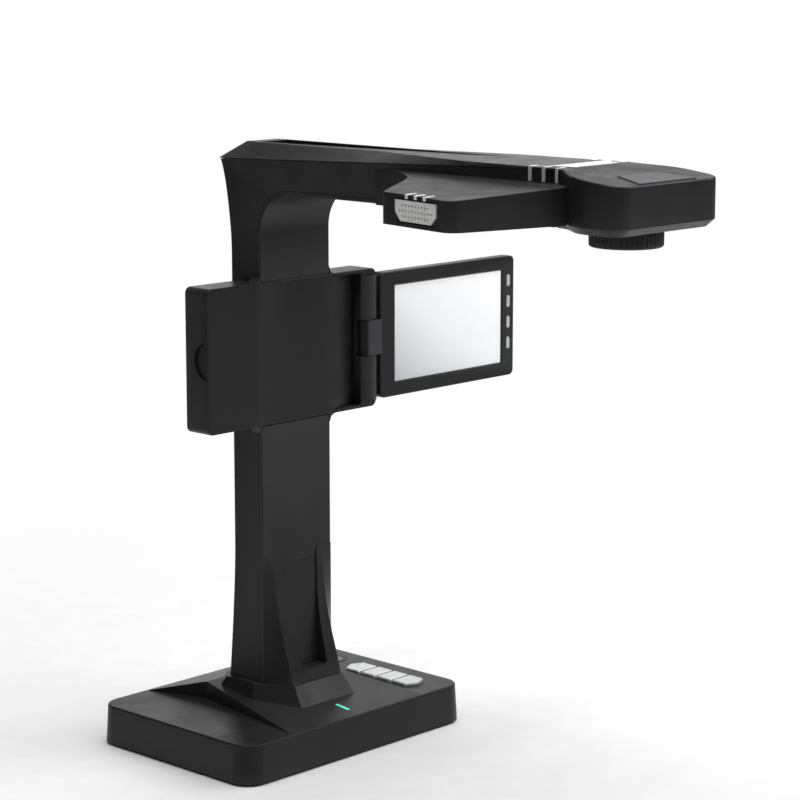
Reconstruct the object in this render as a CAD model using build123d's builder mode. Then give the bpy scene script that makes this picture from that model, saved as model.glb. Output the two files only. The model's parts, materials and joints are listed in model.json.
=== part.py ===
from build123d import *

import math
import os

# Overhead book scanner with a folding screen. Millimetres, +Z up. The origin is the middle of the
# base's footprint on the table, -Y is the way the camera arm reaches and +X is the user's right.

# ---- driving dimensions ----
WALL = 2.4
SEAM = 0.3
FIT = 0.05
EDGE_ROUND = 0.8
TRIM_RISE = 0.35

BASE_WIDTH = 202.0
BASE_DEPTH = 145.0
BASE_CORNER = 15.0
BASE_DRAFT = 3.4
FOOT_HEIGHT = 1.5
RIM_TOP = 26.4
RIM_ROUND = 1.2
RIDGE_TOP = 37.0
RIDGE_Y = 29.5
FACET_REACH = 69.5
PLATEAU_ROOT = 6.0
PLATEAU_LEAN = 8.0
PLATEAU_END = 62.6
PLATEAU_WAIST = 44.5
PLATEAU_REACH = 76.0

KEY_X = 74.5
KEY_FIRST_Y = 0.8
KEY_PITCH = 14.6
KEY_WIDTH = 18.0
KEY_LENGTH = 12.2
KEY_POINT = 4.6
KEY_GAP = 0.3
KEY_RISE = 1.8
KEY_TRAVEL = 0.8
POWER_X = 79.0
POWER_Y = 32.0
POWER_RADIUS = 7.0
POWER_RISE = 0.6
POWER_GROOVE = 8.6
SLIT_Y = -55.0
SLIT_LENGTH = 12.0
SLIT_WIDTH = 2.4

COLUMN_HALF = 31.0
COLUMN_FRONT = -13.75
COLUMN_REAR = 12.9
COLLAR_TOP = 42.0
COLLAR_UPPER = (22.0, -33.0, 36.0, -9.6, 29.0, 24.0, 17.0)
COLLAR_LOWER = (24.6, -43.8, 42.4, -13.0, 34.0, 34.0, 23.0)
ARCH_RADIUS = 26.0
ARM_BOTTOM = 363.0
ARM_TOP = 392.8
ARM_END = -246.0
FLARE_TOP = 383.4
FLARE_Y = 22.8
FLARE_LIP_Y = 15.5
TOP_SPLIT_REAR = 382.6
TOP_SPLIT_SLOPE = 0.0344

DOCK_LEFT = -76.5
DOCK_RIGHT = 74.8
DOCK_BOTTOM = 212.5
DOCK_TOP = 305.4
DOCK_REAR = 7.25
DOCK_CORNER = 4.0
POST_LEFT = 60.2

HINGE_X = 66.5
HINGE_Y = -15.5
HINGE_PIN = 1.2
HINGE_Z = 259.6
BLOCK_HEIGHT = 23.4
SCREEN_LEFT = 76.0
SCREEN_WIDTH = 135.0
SCREEN_HEIGHT = 84.6
SCREEN_FRONT = -16.9
SCREEN_THICK = 10.0
DISPLAY_WIDTH = 108.0
DISPLAY_HEIGHT = 65.0
DISPLAY_X = 144.5
SCREEN_KEY_X = 205.2
SCREEN_KEY_PITCH = 14.7
SCREEN_KEY_LENGTH = 8.4
SCREEN_KEY_WIDTH = 3.4
SCREEN_KEY_RISE = 0.1

WING_BOTTOM = 362.2
WING_TOP = 384.4
WING_FALL = 0.056
WING_ARC = 60.0
WING_ROOT_REAR = -115.6
WING_ROOT_FRONT = -273.0
WING_SWEEP = (62.8, -168.6)
WING_TIP_REAR = (102.0, -189.5)
WING_TIP_FRONT = (114.5, -252.0)
WING_NOSE = (40.0, -272.0)
GRILLE_WIDTH = 38.6
GRILLE_HEIGHT = 11.8
GRILLE_GAP = 1.0

HEAD_FRONT = -316.0
HEAD_HALF = 48.0
HEAD_CORNER = 12.0
HEAD_FALL_START = -262.0
HEAD_FALL_END = 386.6
PAN_REAR = -216.0
PAN_BOTTOM = 358.6
PAN_BEVEL = 4.9
LENS_Y = -283.6
RING_RADIUS = 21.5
RING_BOTTOM = 348.2
BARREL_RADIUS = 14.0

os.makedirs("parts", exist_ok=True)


def key_centre(index):
    """Y of a base key, counted from the rear."""
    return KEY_FIRST_Y - KEY_PITCH * index


def top_split(y):
    """Height of the seam between the arm's sides and its top cover."""
    return TOP_SPLIT_REAR + TOP_SPLIT_SLOPE * (FLARE_Y - y)


# ---- base ----
def base_block(inset, bottom, top):
    """Drafted block with round corners, drawn in from the base's outside."""
    with BuildPart() as block:
        with BuildSketch(Plane.XY.offset(bottom)):
            RectangleRounded(BASE_WIDTH - 2 * inset, BASE_DEPTH - 2 * inset, BASE_CORNER - inset)
        extrude(amount=top - bottom, taper=BASE_DRAFT)
    return block.part


def plateau_block(inset):
    """Bow-tie plateau: two facets fall from a ridge across the base to its front and rear."""
    floor = RIM_TOP - PLATEAU_ROOT
    reach = FACET_REACH - inset
    with BuildPart() as block:
        with BuildSketch(Plane.YZ.offset(-PLATEAU_REACH)):
            with BuildLine():
                Polyline(
                    (-reach, floor), (-reach, RIM_TOP - inset), (RIDGE_Y, RIDGE_TOP - inset),
                    (reach, RIM_TOP - inset), (reach, floor), close=True,
                )
            make_face()
        extrude(amount=2 * PLATEAU_REACH)
        with BuildSketch(Plane.XY.offset(floor)):
            with BuildLine():
                end = PLATEAU_END - inset
                waist = PLATEAU_WAIST - inset
                Polyline(
                    (-end, -PLATEAU_REACH), (end, -PLATEAU_REACH), (waist, RIDGE_Y), (end, PLATEAU_REACH),
                    (-end, PLATEAU_REACH), (-waist, RIDGE_Y), close=True,
                )
            make_face()
        extrude(amount=RIDGE_TOP, taper=PLATEAU_LEAN, mode=Mode.INTERSECT)
    return block.part


def key_outline(index, gap):
    """Outline of a base key. The two end keys come to a point."""
    half_x = KEY_WIDTH / 2 + gap
    half_y = KEY_LENGTH / 2 + gap
    point = {0: 1, 3: -1}.get(index, 0)
    with BuildSketch() as outline:
        with Locations((KEY_X, key_centre(index))):
            Rectangle(2 * half_x, 2 * half_y)
        if point:
            shoulder = key_centre(index) + point * half_y
            with BuildLine():
                Polyline(
                    (KEY_X - half_x, shoulder), (KEY_X + half_x, shoulder), (KEY_X, shoulder + point * KEY_POINT),
                    close=True,
                )
            make_face()
    return outline.sketch


SPINE_WIDTH = 36.0
SPINE_DEPTH = 14.0
SPINE_WALL = 1.6
USB_X = -20.0
DC_X = -40.0
SOCKET_Z = 12.0
USB_WIDTH = 9.2
USB_HEIGHT = 3.6
DC_RADIUS = 4.6
SOCKET_DEPTH = 12.0
SOCKET_FACE = BASE_DEPTH / 2 - 1.6
PLATE_TOP = FOOT_HEIGHT + 2.0
SCREW_X = 64.0
SCREW_Y = 58.0
BOSS_RADIUS = 4.0
SCREW_RADIUS = 1.5

with BuildPart() as base_housing:
    add(base_block(0, FOOT_HEIGHT, RIM_TOP))
    fillet(base_housing.faces().sort_by(Axis.Z)[-1].edges(), RIM_ROUND)
    add(plateau_block(0))
    add(base_block(WALL, FOOT_HEIGHT, RIM_TOP - WALL), mode=Mode.SUBTRACT)
    add(plateau_block(WALL), mode=Mode.SUBTRACT)
    for key in range(4):
        with BuildSketch(Plane.XY.offset(RIM_TOP + 1)):
            add(key_outline(key, KEY_GAP))
        extrude(amount=-WALL - 2, mode=Mode.SUBTRACT)
    with BuildSketch(Plane.XY.offset(RIM_TOP + 1)):
        with Locations((POWER_X, POWER_Y)):
            Circle(POWER_RADIUS + KEY_GAP)
    extrude(amount=-WALL - 2, mode=Mode.SUBTRACT)
    with BuildSketch(Plane.XY.offset(RIM_TOP)):
        with Locations((POWER_X, POWER_Y)):
            Circle(POWER_GROOVE + 0.8)
            Circle(POWER_GROOVE, mode=Mode.SUBTRACT)
    extrude(amount=-0.5, mode=Mode.SUBTRACT)
    with BuildSketch(Plane.XY.offset(RIM_TOP - PLATEAU_ROOT)):
        with Locations((0, SLIT_Y)):
            SlotOverall(SLIT_LENGTH + 2 * FIT, SLIT_WIDTH + 2 * FIT, rotation=90)
    extrude(amount=RIDGE_TOP, mode=Mode.SUBTRACT)
    with BuildSketch(Plane.XY.offset(RIM_TOP - PLATEAU_ROOT)):
        with Locations((0, (COLUMN_REAR + COLUMN_FRONT) / 2)):
            Rectangle(SPINE_WIDTH + 1, SPINE_DEPTH + 1)
    extrude(amount=RIDGE_TOP, mode=Mode.SUBTRACT)
    with BuildSketch(Plane.XZ.offset(-BASE_DEPTH / 2 - 1)):
        with Locations((USB_X, SOCKET_Z)):
            RectangleRounded(USB_WIDTH + 2 * FIT, USB_HEIGHT + 2 * FIT, 1.2)
        with Locations((DC_X, SOCKET_Z)):
            Circle(DC_RADIUS + FIT)
    extrude(amount=WALL + 4, mode=Mode.SUBTRACT)
    with BuildSketch(Plane.XY.offset(PLATE_TOP)):
        with GridLocations(2 * SCREW_X, 2 * SCREW_Y, 2, 2):
            Circle(BOSS_RADIUS)
    extrude(amount=RIM_TOP - PLATE_TOP - 1)
    with BuildSketch(Plane.XY.offset(PLATE_TOP)):
        with GridLocations(2 * SCREW_X, 2 * SCREW_Y, 2, 2):
            Circle(SCREW_RADIUS)
    extrude(amount=10, mode=Mode.SUBTRACT)
base_housing.part.label = "base_housing"
export_step(base_housing.part, "parts/base_housing.step")

FOOT_INSET = 16.0
FOOT_RADIUS = 8.0

with BuildPart() as base_plate:
    with BuildSketch(Plane.XY.offset(FOOT_HEIGHT)):
        RectangleRounded(
            BASE_WIDTH - 2 * (WALL + SEAM), BASE_DEPTH - 2 * (WALL + SEAM), BASE_CORNER - WALL - SEAM
        )
        with GridLocations(2 * SCREW_X, 2 * SCREW_Y, 2, 2):
            Circle(SCREW_RADIUS + 0.1, mode=Mode.SUBTRACT)
    extrude(amount=PLATE_TOP - FOOT_HEIGHT)
    with BuildSketch(Plane.XY.offset(FOOT_HEIGHT)):
        with GridLocations(BASE_WIDTH - 2 * FOOT_INSET, BASE_DEPTH - 2 * FOOT_INSET, 2, 2):
            Circle(FOOT_RADIUS)
    extrude(amount=0.8, mode=Mode.SUBTRACT)
base_plate.part.label = "base_plate"
export_step(base_plate.part, "parts/base_plate.step")

with BuildPart() as rubber_feet:
    with BuildSketch():
        with GridLocations(BASE_WIDTH - 2 * FOOT_INSET, BASE_DEPTH - 2 * FOOT_INSET, 2, 2):
            Circle(FOOT_RADIUS)
    extrude(amount=FOOT_HEIGHT + 0.8)
    chamfer(rubber_feet.faces().filter_by(Axis.Z).group_by(Axis.Z)[0].edges(), 0.5)
rubber_feet.part.label = "rubber_feet"
export_step(rubber_feet.part, "parts/rubber_feet.step")

with BuildPart() as base_screws:
    with BuildSketch(Plane.XY.offset(FOOT_HEIGHT + 0.1)):
        with GridLocations(2 * SCREW_X, 2 * SCREW_Y, 2, 2):
            Circle(SCREW_RADIUS - 0.05)
    extrude(amount=9)
    with BuildSketch(Plane.XY.offset(FOOT_HEIGHT - 0.9)):
        with GridLocations(2 * SCREW_X, 2 * SCREW_Y, 2, 2):
            Circle(2.8)
            RegularPolygon(1.2, 6, mode=Mode.SUBTRACT)
    extrude(amount=0.9)
    with BuildSketch(Plane.XY.offset(FOOT_HEIGHT - 0.1)):
        with GridLocations(2 * SCREW_X, 2 * SCREW_Y, 2, 2):
            Circle(SCREW_RADIUS - 0.05)
    extrude(amount=0.3)
base_screws.part.label = "base_screws"
export_step(base_screws.part, "parts/base_screws.step")

BALLAST_TOP = PLATE_TOP + 6.0
BALLAST_X = -13.0
BALLAST_SIZE = (150.0, 104.0)

with BuildPart() as ballast_plate:
    with BuildSketch(Plane.XY.offset(PLATE_TOP)):
        with Locations((BALLAST_X, 0)):
            Rectangle(*BALLAST_SIZE)
    extrude(amount=BALLAST_TOP - PLATE_TOP)
ballast_plate.part.label = "ballast_plate"
export_step(ballast_plate.part, "parts/ballast_plate.step")

BOARD_THICK = 1.6
MAIN_BOARD_Z = 12.5
MAIN_BOARD_Y = -36.0

with BuildPart() as main_board:
    with BuildSketch(Plane.XY.offset(MAIN_BOARD_Z)):
        with Locations((0, MAIN_BOARD_Y)):
            Rectangle(100, 34)
    extrude(amount=BOARD_THICK)
    with BuildSketch(Plane.XY.offset(MAIN_BOARD_Z + BOARD_THICK)):
        with Locations((-28, MAIN_BOARD_Y)):
            Rectangle(17, 17)
        with Locations((6, MAIN_BOARD_Y + 4)):
            Rectangle(12, 9)
        with Locations((32, MAIN_BOARD_Y - 6)):
            Rectangle(8, 8)
    extrude(amount=1.4)
    with BuildSketch(Plane.XY.offset(BALLAST_TOP)):
        with Locations((0, MAIN_BOARD_Y)):
            with GridLocations(88, 24, 2, 2):
                Circle(2.5)
    extrude(amount=MAIN_BOARD_Z - BALLAST_TOP)
main_board.part.label = "main_board"
export_step(main_board.part, "parts/main_board.step")

KEY_BOARD_TOP = 14.0
SWITCH_TOP = KEY_BOARD_TOP + 4.0
KEY_BOARD_LEFT = 67.4
KEY_BOARD_RIGHT = 88.0

with BuildPart() as key_board:
    with BuildSketch(Plane.XY.offset(KEY_BOARD_TOP - BOARD_THICK)):
        with Locations(((KEY_BOARD_LEFT + KEY_BOARD_RIGHT) / 2, -5.0)):
            Rectangle(KEY_BOARD_RIGHT - KEY_BOARD_LEFT, 96)
    extrude(amount=BOARD_THICK)
    key_spots = [(KEY_X, key_centre(key)) for key in range(4)] + [(POWER_X, POWER_Y)]
    with BuildSketch(Plane.XY.offset(KEY_BOARD_TOP)):
        with Locations(*key_spots):
            Rectangle(6.2, 6.2)
    extrude(amount=3.2)
    with BuildSketch(Plane.XY.offset(KEY_BOARD_TOP)):
        with Locations(*key_spots):
            Circle(1.7)
    extrude(amount=SWITCH_TOP - KEY_BOARD_TOP)
    with BuildSketch(Plane.XY.offset(PLATE_TOP)):
        with Locations(((KEY_BOARD_LEFT + KEY_BOARD_RIGHT) / 2, -5.0)):
            with GridLocations(12, 84, 2, 2):
                Circle(2.2)
    extrude(amount=KEY_BOARD_TOP - BOARD_THICK - PLATE_TOP)
key_board.part.label = "key_board"
export_step(key_board.part, "parts/key_board.step")

STEM_BOTTOM = SWITCH_TOP + KEY_TRAVEL + 0.1
CAP_BOTTOM = RIM_TOP - WALL - 1.6
LIP_TOP = RIM_TOP - WALL - 0.4

for key in range(4):
    with BuildPart() as base_key:
        with BuildSketch(Plane.XY.offset(CAP_BOTTOM)):
            add(key_outline(key, 0))
        extrude(amount=RIM_TOP + KEY_RISE - CAP_BOTTOM)
        chamfer(base_key.faces().sort_by(Axis.Z)[-1].edges(), 0.6)
        with BuildSketch(Plane.XY.offset(CAP_BOTTOM)):
            with Locations((KEY_X, key_centre(key))):
                Rectangle(KEY_WIDTH + 1.6, KEY_LENGTH - 2)
        extrude(amount=LIP_TOP - CAP_BOTTOM)
        with BuildSketch(Plane.XY.offset(STEM_BOTTOM)):
            with Locations((KEY_X, key_centre(key))):
                Circle(2)
        extrude(amount=CAP_BOTTOM - STEM_BOTTOM)
    base_key.part.label = f"base_key_{key + 1}"
    export_step(base_key.part, f"parts/base_key_{key + 1}.step")

with BuildPart() as power_button:
    with BuildSketch(Plane.XY.offset(CAP_BOTTOM)):
        with Locations((POWER_X, POWER_Y)):
            Circle(POWER_RADIUS)
    extrude(amount=RIM_TOP + POWER_RISE - CAP_BOTTOM)
    chamfer(power_button.faces().sort_by(Axis.Z)[-1].edges(), 0.5)
    with BuildSketch(Plane.XY.offset(CAP_BOTTOM)):
        with Locations((POWER_X, POWER_Y)):
            Circle(POWER_RADIUS + 1)
    extrude(amount=LIP_TOP - CAP_BOTTOM)
    with BuildSketch(Plane.XY.offset(STEM_BOTTOM)):
        with Locations((POWER_X, POWER_Y)):
            Circle(2)
    extrude(amount=CAP_BOTTOM - STEM_BOTTOM)
power_button.part.label = "power_button"
export_step(power_button.part, "parts/power_button.step")

with BuildPart() as status_light:
    with BuildSketch(Plane.XY.offset(RIM_TOP - PLATEAU_ROOT)):
        with Locations((0, SLIT_Y)):
            SlotOverall(SLIT_LENGTH, SLIT_WIDTH, rotation=90)
    extrude(amount=RIDGE_TOP)
    add(plateau_block(0), mode=Mode.INTERSECT)
status_light.part.label = "status_light"
export_step(status_light.part, "parts/status_light.step")

with BuildPart() as usb_socket:
    with BuildSketch(Plane.XZ.offset(-SOCKET_FACE)):
        with Locations((USB_X, SOCKET_Z)):
            RectangleRounded(USB_WIDTH, USB_HEIGHT, 1.1)
    extrude(amount=SOCKET_DEPTH)
    with BuildSketch(Plane.XZ.offset(-SOCKET_FACE)):
        with Locations((USB_X, SOCKET_Z)):
            RectangleRounded(USB_WIDTH - 0.8, USB_HEIGHT - 0.8, 0.9)
            Rectangle(USB_WIDTH - 2.6, 0.7, mode=Mode.SUBTRACT)
    extrude(amount=SOCKET_DEPTH - 3, mode=Mode.SUBTRACT)
usb_socket.part.label = "usb_socket"
export_step(usb_socket.part, "parts/usb_socket.step")

with BuildPart() as dc_socket:
    with BuildSketch(Plane.XZ.offset(-SOCKET_FACE)):
        with Locations((DC_X, SOCKET_Z)):
            Circle(DC_RADIUS)
    extrude(amount=SOCKET_DEPTH)
    with BuildSketch(Plane.XZ.offset(-SOCKET_FACE)):
        with Locations((DC_X, SOCKET_Z)):
            Circle(2.9)
            Circle(1.0, mode=Mode.SUBTRACT)
    extrude(amount=SOCKET_DEPTH - 3, mode=Mode.SUBTRACT)
dc_socket.part.label = "dc_socket"
export_step(dc_socket.part, "parts/dc_socket.step")


# ---- column ----
def collar_outline(front_half, front, side, shoulder, rear_half, rear, rear_shoulder):
    """Eight-sided outline with chamfered corners."""
    with BuildSketch() as outline:
        with BuildLine():
            Polyline(
                (-front_half, front), (front_half, front), (side, shoulder), (side, rear_shoulder),
                (rear_half, rear), (-rear_half, rear), (-side, rear_shoulder), (-side, shoulder), close=True,
            )
        make_face()
    return outline.sketch


with BuildPart() as column_collar:
    with BuildSketch(Plane.XY.offset(COLLAR_TOP)):
        add(collar_outline(*COLLAR_UPPER))
    with BuildSketch(Plane.XY.offset(RIM_TOP)):
        add(collar_outline(*COLLAR_LOWER))
    loft(ruled=True)
    fillet(column_collar.faces().sort_by(Axis.Z)[-1].edges(), EDGE_ROUND)
    add(plateau_block(0), mode=Mode.SUBTRACT)
    with BuildSketch(Plane.XY.offset(RIM_TOP)):
        with Locations((0, (COLUMN_REAR + COLUMN_FRONT) / 2)):
            Rectangle(SPINE_WIDTH + 1, SPINE_DEPTH + 1)
    extrude(amount=ARM_BOTTOM, mode=Mode.SUBTRACT)
column_collar.part.label = "column_collar"
export_step(column_collar.part, "parts/column_collar.step")


def side_profile(inset):
    """Side view of the column and the arm in one, drawn in from its outside."""
    front = COLUMN_FRONT + inset
    with BuildSketch() as outline:
        with BuildLine():
            Line((front, COLLAR_TOP), (front, ARM_BOTTOM - ARCH_RADIUS))
            TangentArc(
                (front, ARM_BOTTOM - ARCH_RADIUS),
                (COLUMN_FRONT - ARCH_RADIUS, ARM_BOTTOM + inset),
                tangent=(0, 1),
            )
            Line((COLUMN_FRONT - ARCH_RADIUS, ARM_BOTTOM + inset), (ARM_END, ARM_BOTTOM + inset))
            Line((ARM_END, ARM_BOTTOM + inset), (ARM_END, ARM_TOP - inset))
            Line((ARM_END, ARM_TOP - inset), (FLARE_LIP_Y - inset, ARM_TOP - inset))
            Line((FLARE_LIP_Y - inset, ARM_TOP - inset), (FLARE_Y - inset, FLARE_TOP))
            Spline(
                (FLARE_Y - inset, FLARE_TOP), (15.9 - inset, 356.0), (COLUMN_REAR - inset, 322.0),
                tangents=[(-0.45, -1), (0, -1)],
            )
            Line((COLUMN_REAR - inset, 322.0), (COLUMN_REAR - inset, 137.0))
            Spline(
                (COLUMN_REAR - inset, 137.0), (14.7 - inset, 93.0), (19.0 - inset, COLLAR_TOP),
                tangents=[(0, -1), (0.1, -1)],
            )
            Line((19.0 - inset, COLLAR_TOP), (front, COLLAR_TOP))
        make_face()
    return outline.sketch


def cover_band(thickness, end):
    """Strip up the column's front, round the arch and along under the arm, in side view."""
    front = COLUMN_FRONT
    arch = ARM_BOTTOM - ARCH_RADIUS
    arch_y = COLUMN_FRONT - ARCH_RADIUS
    with BuildSketch() as outline:
        with BuildLine():
            Line((front, COLLAR_TOP), (front, arch))
            TangentArc((front, arch), (arch_y, ARM_BOTTOM), tangent=(0, 1))
            Line((arch_y, ARM_BOTTOM), (end, ARM_BOTTOM))
            Line((end, ARM_BOTTOM), (end, ARM_BOTTOM + thickness))
            Line((end, ARM_BOTTOM + thickness), (arch_y, ARM_BOTTOM + thickness))
            TangentArc((arch_y, ARM_BOTTOM + thickness), (front + thickness, arch), tangent=(1, 0))
            Line((front + thickness, arch), (front + thickness, COLLAR_TOP))
            Line((front + thickness, COLLAR_TOP), (front, COLLAR_TOP))
        make_face()
    return outline.sketch


COVER_END = PAN_REAR + 0.5


def is_rear_corner(edge):
    """Upright outer corner at the back of the column, up to the arm's top."""
    box = edge.bounding_box()
    return box.min.Y > COLUMN_REAR - SEAM and box.size.Z > WALL and box.size.X < FIT


with BuildPart() as body_shell:
    with BuildSketch(Plane.YZ.offset(-COLUMN_HALF)):
        add(side_profile(0))
    extrude(amount=2 * COLUMN_HALF)
    fillet(body_shell.edges().filter_by(is_rear_corner), EDGE_ROUND)
    with BuildSketch(Plane.YZ.offset(-COLUMN_HALF + WALL)):
        add(side_profile(WALL))
    extrude(amount=2 * (COLUMN_HALF - WALL), mode=Mode.SUBTRACT)
    with BuildSketch(Plane.YZ.offset(-COLUMN_HALF)):
        add(cover_band(WALL + SEAM, ARM_END - 1))
    extrude(amount=2 * COLUMN_HALF, mode=Mode.SUBTRACT)
    with BuildSketch(Plane.YZ.offset(-COLUMN_HALF)):
        with BuildLine():
            Polyline(
                (FLARE_Y + 2, top_split(FLARE_Y + 2) - SEAM), (ARM_END - 1, top_split(ARM_END - 1) - SEAM),
                (ARM_END - 1, ARM_TOP + 5), (FLARE_Y + 2, ARM_TOP + 5), close=True,
            )
        make_face()
    extrude(amount=2 * COLUMN_HALF, mode=Mode.SUBTRACT)
    with BuildSketch(Plane.XZ.offset(-ARM_END - WALL)):
        with Locations((0, (ARM_BOTTOM + ARM_TOP) / 2)):
            Rectangle(2 * (COLUMN_HALF - WALL), ARM_TOP - ARM_BOTTOM + 4)
    extrude(amount=WALL + 1, mode=Mode.SUBTRACT)
    with BuildSketch(Plane.XY.offset(COLLAR_TOP - 1)):
        with Locations((0, (COLUMN_REAR + COLUMN_FRONT) / 2)):
            Rectangle(SPINE_WIDTH + 1, SPINE_DEPTH + 1)
    extrude(amount=WALL + 2, mode=Mode.SUBTRACT)
body_shell.part.label = "body_shell"
export_step(body_shell.part, "parts/body_shell.step")

# height, and how far the pilaster stands out from the column there
PILASTER_STATIONS = ((COLLAR_TOP, 17.75), (56.0, 13.8), (78.0, 7.1), (100.0, 2.8), (126.0, 0.2))
PILASTER_TOP = PILASTER_STATIONS[-1][0]
PILASTER_HALF = 22.0
CHANNEL_BOTTOM = 50.0
CHANNEL_TOP = 134.0
CHANNEL_LOWER = 11.5
CHANNEL_UPPER = 18.0
CHANNEL_FLOOR = 6.5
CHANNEL_FADE = 120.0


def pilaster_section(reach):
    """Plan of the pilaster: its sides slope in from the column's front corners."""
    front = COLUMN_FRONT - reach
    with BuildSketch() as section:
        with BuildLine():
            Polyline(
                (-COLUMN_HALF, COLUMN_FRONT), (COLUMN_HALF, COLUMN_FRONT), (PILASTER_HALF, front),
                (-PILASTER_HALF, front), close=True,
            )
        make_face()
    return section.sketch


def channel_block():
    """Tapering channel down the pilaster, with a floor that slopes out towards its foot."""
    with BuildPart() as block:
        with BuildSketch(Plane.XZ.offset(-COLUMN_FRONT)):
            with BuildLine():
                Polyline(
                    (-CHANNEL_LOWER, CHANNEL_BOTTOM), (CHANNEL_LOWER, CHANNEL_BOTTOM),
                    (CHANNEL_UPPER, CHANNEL_TOP), (-CHANNEL_UPPER, CHANNEL_TOP), close=True,
                )
            make_face()
        extrude(amount=COLUMN_HALF)
        with BuildSketch(Plane.YZ.offset(-COLUMN_HALF)):
            with BuildLine():
                Polyline(
                    (COLUMN_FRONT - CHANNEL_FLOOR, CHANNEL_BOTTOM), (COLUMN_FRONT, CHANNEL_FADE),
                    (COLUMN_FRONT + 1, CHANNEL_FADE), (COLUMN_FRONT + 1, CHANNEL_BOTTOM), close=True,
                )
            make_face()
        extrude(amount=2 * COLUMN_HALF, mode=Mode.SUBTRACT)
    return block.part


def is_cover_corner(edge):
    """Long outer corner of the strip, from the pilaster up round the arch and along the arm."""
    middle = edge.center()
    on_side = abs(abs(middle.X) - COLUMN_HALF) < SEAM
    on_front = abs(middle.Y - COLUMN_FRONT) < SEAM or abs(middle.Z - ARM_BOTTOM) < SEAM
    on_arch = edge.geom_type == GeomType.CIRCLE and edge.radius < ARCH_RADIUS + SEAM
    return on_side and middle.Z > PILASTER_TOP and edge.length > WALL + 1 and (on_front or on_arch)


with BuildPart() as front_cover:
    with BuildSketch(Plane.YZ.offset(-COLUMN_HALF)):
        add(cover_band(WALL, COVER_END))
    extrude(amount=2 * COLUMN_HALF)
    for height, reach in PILASTER_STATIONS:
        with BuildSketch(Plane.XY.offset(height)):
            add(pilaster_section(reach))
    loft()
    add(channel_block(), mode=Mode.SUBTRACT)
    fillet(front_cover.edges().filter_by(is_cover_corner), EDGE_ROUND)
    with BuildSketch(Plane.XZ.offset(-COLUMN_FRONT + 1)):
        with Locations((0, (DOCK_BOTTOM + DOCK_TOP) / 2)):
            Rectangle(2 * COLUMN_HALF + 2, DOCK_TOP - DOCK_BOTTOM + 2 * SEAM)
    extrude(amount=-WALL - 2, mode=Mode.SUBTRACT)
front_cover.part.label = "front_cover"
export_step(front_cover.part, "parts/front_cover.step")

BEAM_BOTTOM = 367.0
BEAM_HEIGHT = 11.0
BEAM_END = -238.0
SPINE_Y = (COLUMN_REAR + COLUMN_FRONT) / 2

with BuildPart() as column_spine:
    with BuildSketch(Plane.XY.offset(BALLAST_TOP)):
        with Locations((0, SPINE_Y)):
            Rectangle(SPINE_WIDTH, SPINE_DEPTH)
            Rectangle(SPINE_WIDTH - 2 * SPINE_WALL, SPINE_DEPTH - 2 * SPINE_WALL, mode=Mode.SUBTRACT)
    extrude(amount=BEAM_BOTTOM - BALLAST_TOP)
    with BuildSketch(Plane.XY.offset(BALLAST_TOP)):
        with Locations((0, SPINE_Y)):
            Rectangle(SPINE_WIDTH + 34, SPINE_DEPTH + 26)
            Rectangle(SPINE_WIDTH - 2 * SPINE_WALL, SPINE_DEPTH - 2 * SPINE_WALL, mode=Mode.SUBTRACT)
    extrude(amount=3)
column_spine.part.label = "column_spine"
export_step(column_spine.part, "parts/column_spine.step")

with BuildPart() as arm_beam:
    with BuildSketch(Plane.XZ.offset(-SPINE_DEPTH / 2 - SPINE_Y)):
        with Locations((0, BEAM_BOTTOM + BEAM_HEIGHT / 2)):
            Rectangle(SPINE_WIDTH, BEAM_HEIGHT)
            Rectangle(SPINE_WIDTH - 2 * SPINE_WALL, BEAM_HEIGHT - 2 * SPINE_WALL, mode=Mode.SUBTRACT)
    extrude(amount=SPINE_DEPTH / 2 + SPINE_Y - BEAM_END)
arm_beam.part.label = "arm_beam"
export_step(arm_beam.part, "parts/arm_beam.step")

# ---- dock that holds the folded screen ----
DOCK_BACK = 2.0
SCOOP_START = 29.5
SCOOP_DEPTH = 8.0
NOTCH_RADIUS = 12.6
NOTCH_DEPTH = 1.5
BEAD_RISE = 4.15
BEAD_TAPER = 5.0
DOCK_MIDDLE = (DOCK_BOTTOM + DOCK_TOP) / 2
NICHE_HEIGHT = BLOCK_HEIGHT + 1.2
NICHE_BACK = -8.0
DOCK_SCREW_LEFT = -69.0
DOCK_SCREW_RIGHT = 66.5
DOCK_SCREW_SPAN = 74.0
DOCK_SCREW_RADIUS = 1.3
DOCK_SCREW_HEAD = 2.6
DOCK_SCREW_SINK = 1.2
DOCK_SCREW_SPOTS = [
    (x, DOCK_MIDDLE + side * DOCK_SCREW_SPAN / 2) for x in (DOCK_SCREW_LEFT, DOCK_SCREW_RIGHT) for side in (-1, 1)
]
BOSS_DEEP = 16.0
BOSS_SHALLOW = 8.0
WEB_RADIUS = 5.0
WEB_DEPTH = 8.0


def web_outline(side, edge, outward):
    """Hollow-cornered web between the column's side and the dock's top or bottom edge."""
    root = side * (COLUMN_HALF + 0.1)
    tip = root + side * WEB_RADIUS
    far = edge + outward * WEB_RADIUS
    bulge = WEB_RADIUS * (1 - math.sqrt(0.5))
    with BuildSketch() as outline:
        with BuildLine():
            Line((root, far), (root, edge - outward))
            Line((root, edge - outward), (tip, edge - outward))
            Line((tip, edge - outward), (tip, edge))
            ThreePointArc((tip, edge), (root + side * bulge, edge + outward * bulge), (root, far))
        make_face()
    return outline.sketch


def is_back_edge(edge):
    """Outer edge of the dock's back, away from the column and the screws."""
    middle = edge.center()
    near_column = abs(middle.X) < COLUMN_HALF + 1
    at_screw = edge.geom_type == GeomType.CIRCLE and edge.radius < DOCK_CORNER - SEAM
    return middle.Y > DOCK_REAR - FIT and not near_column and not at_screw


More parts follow.
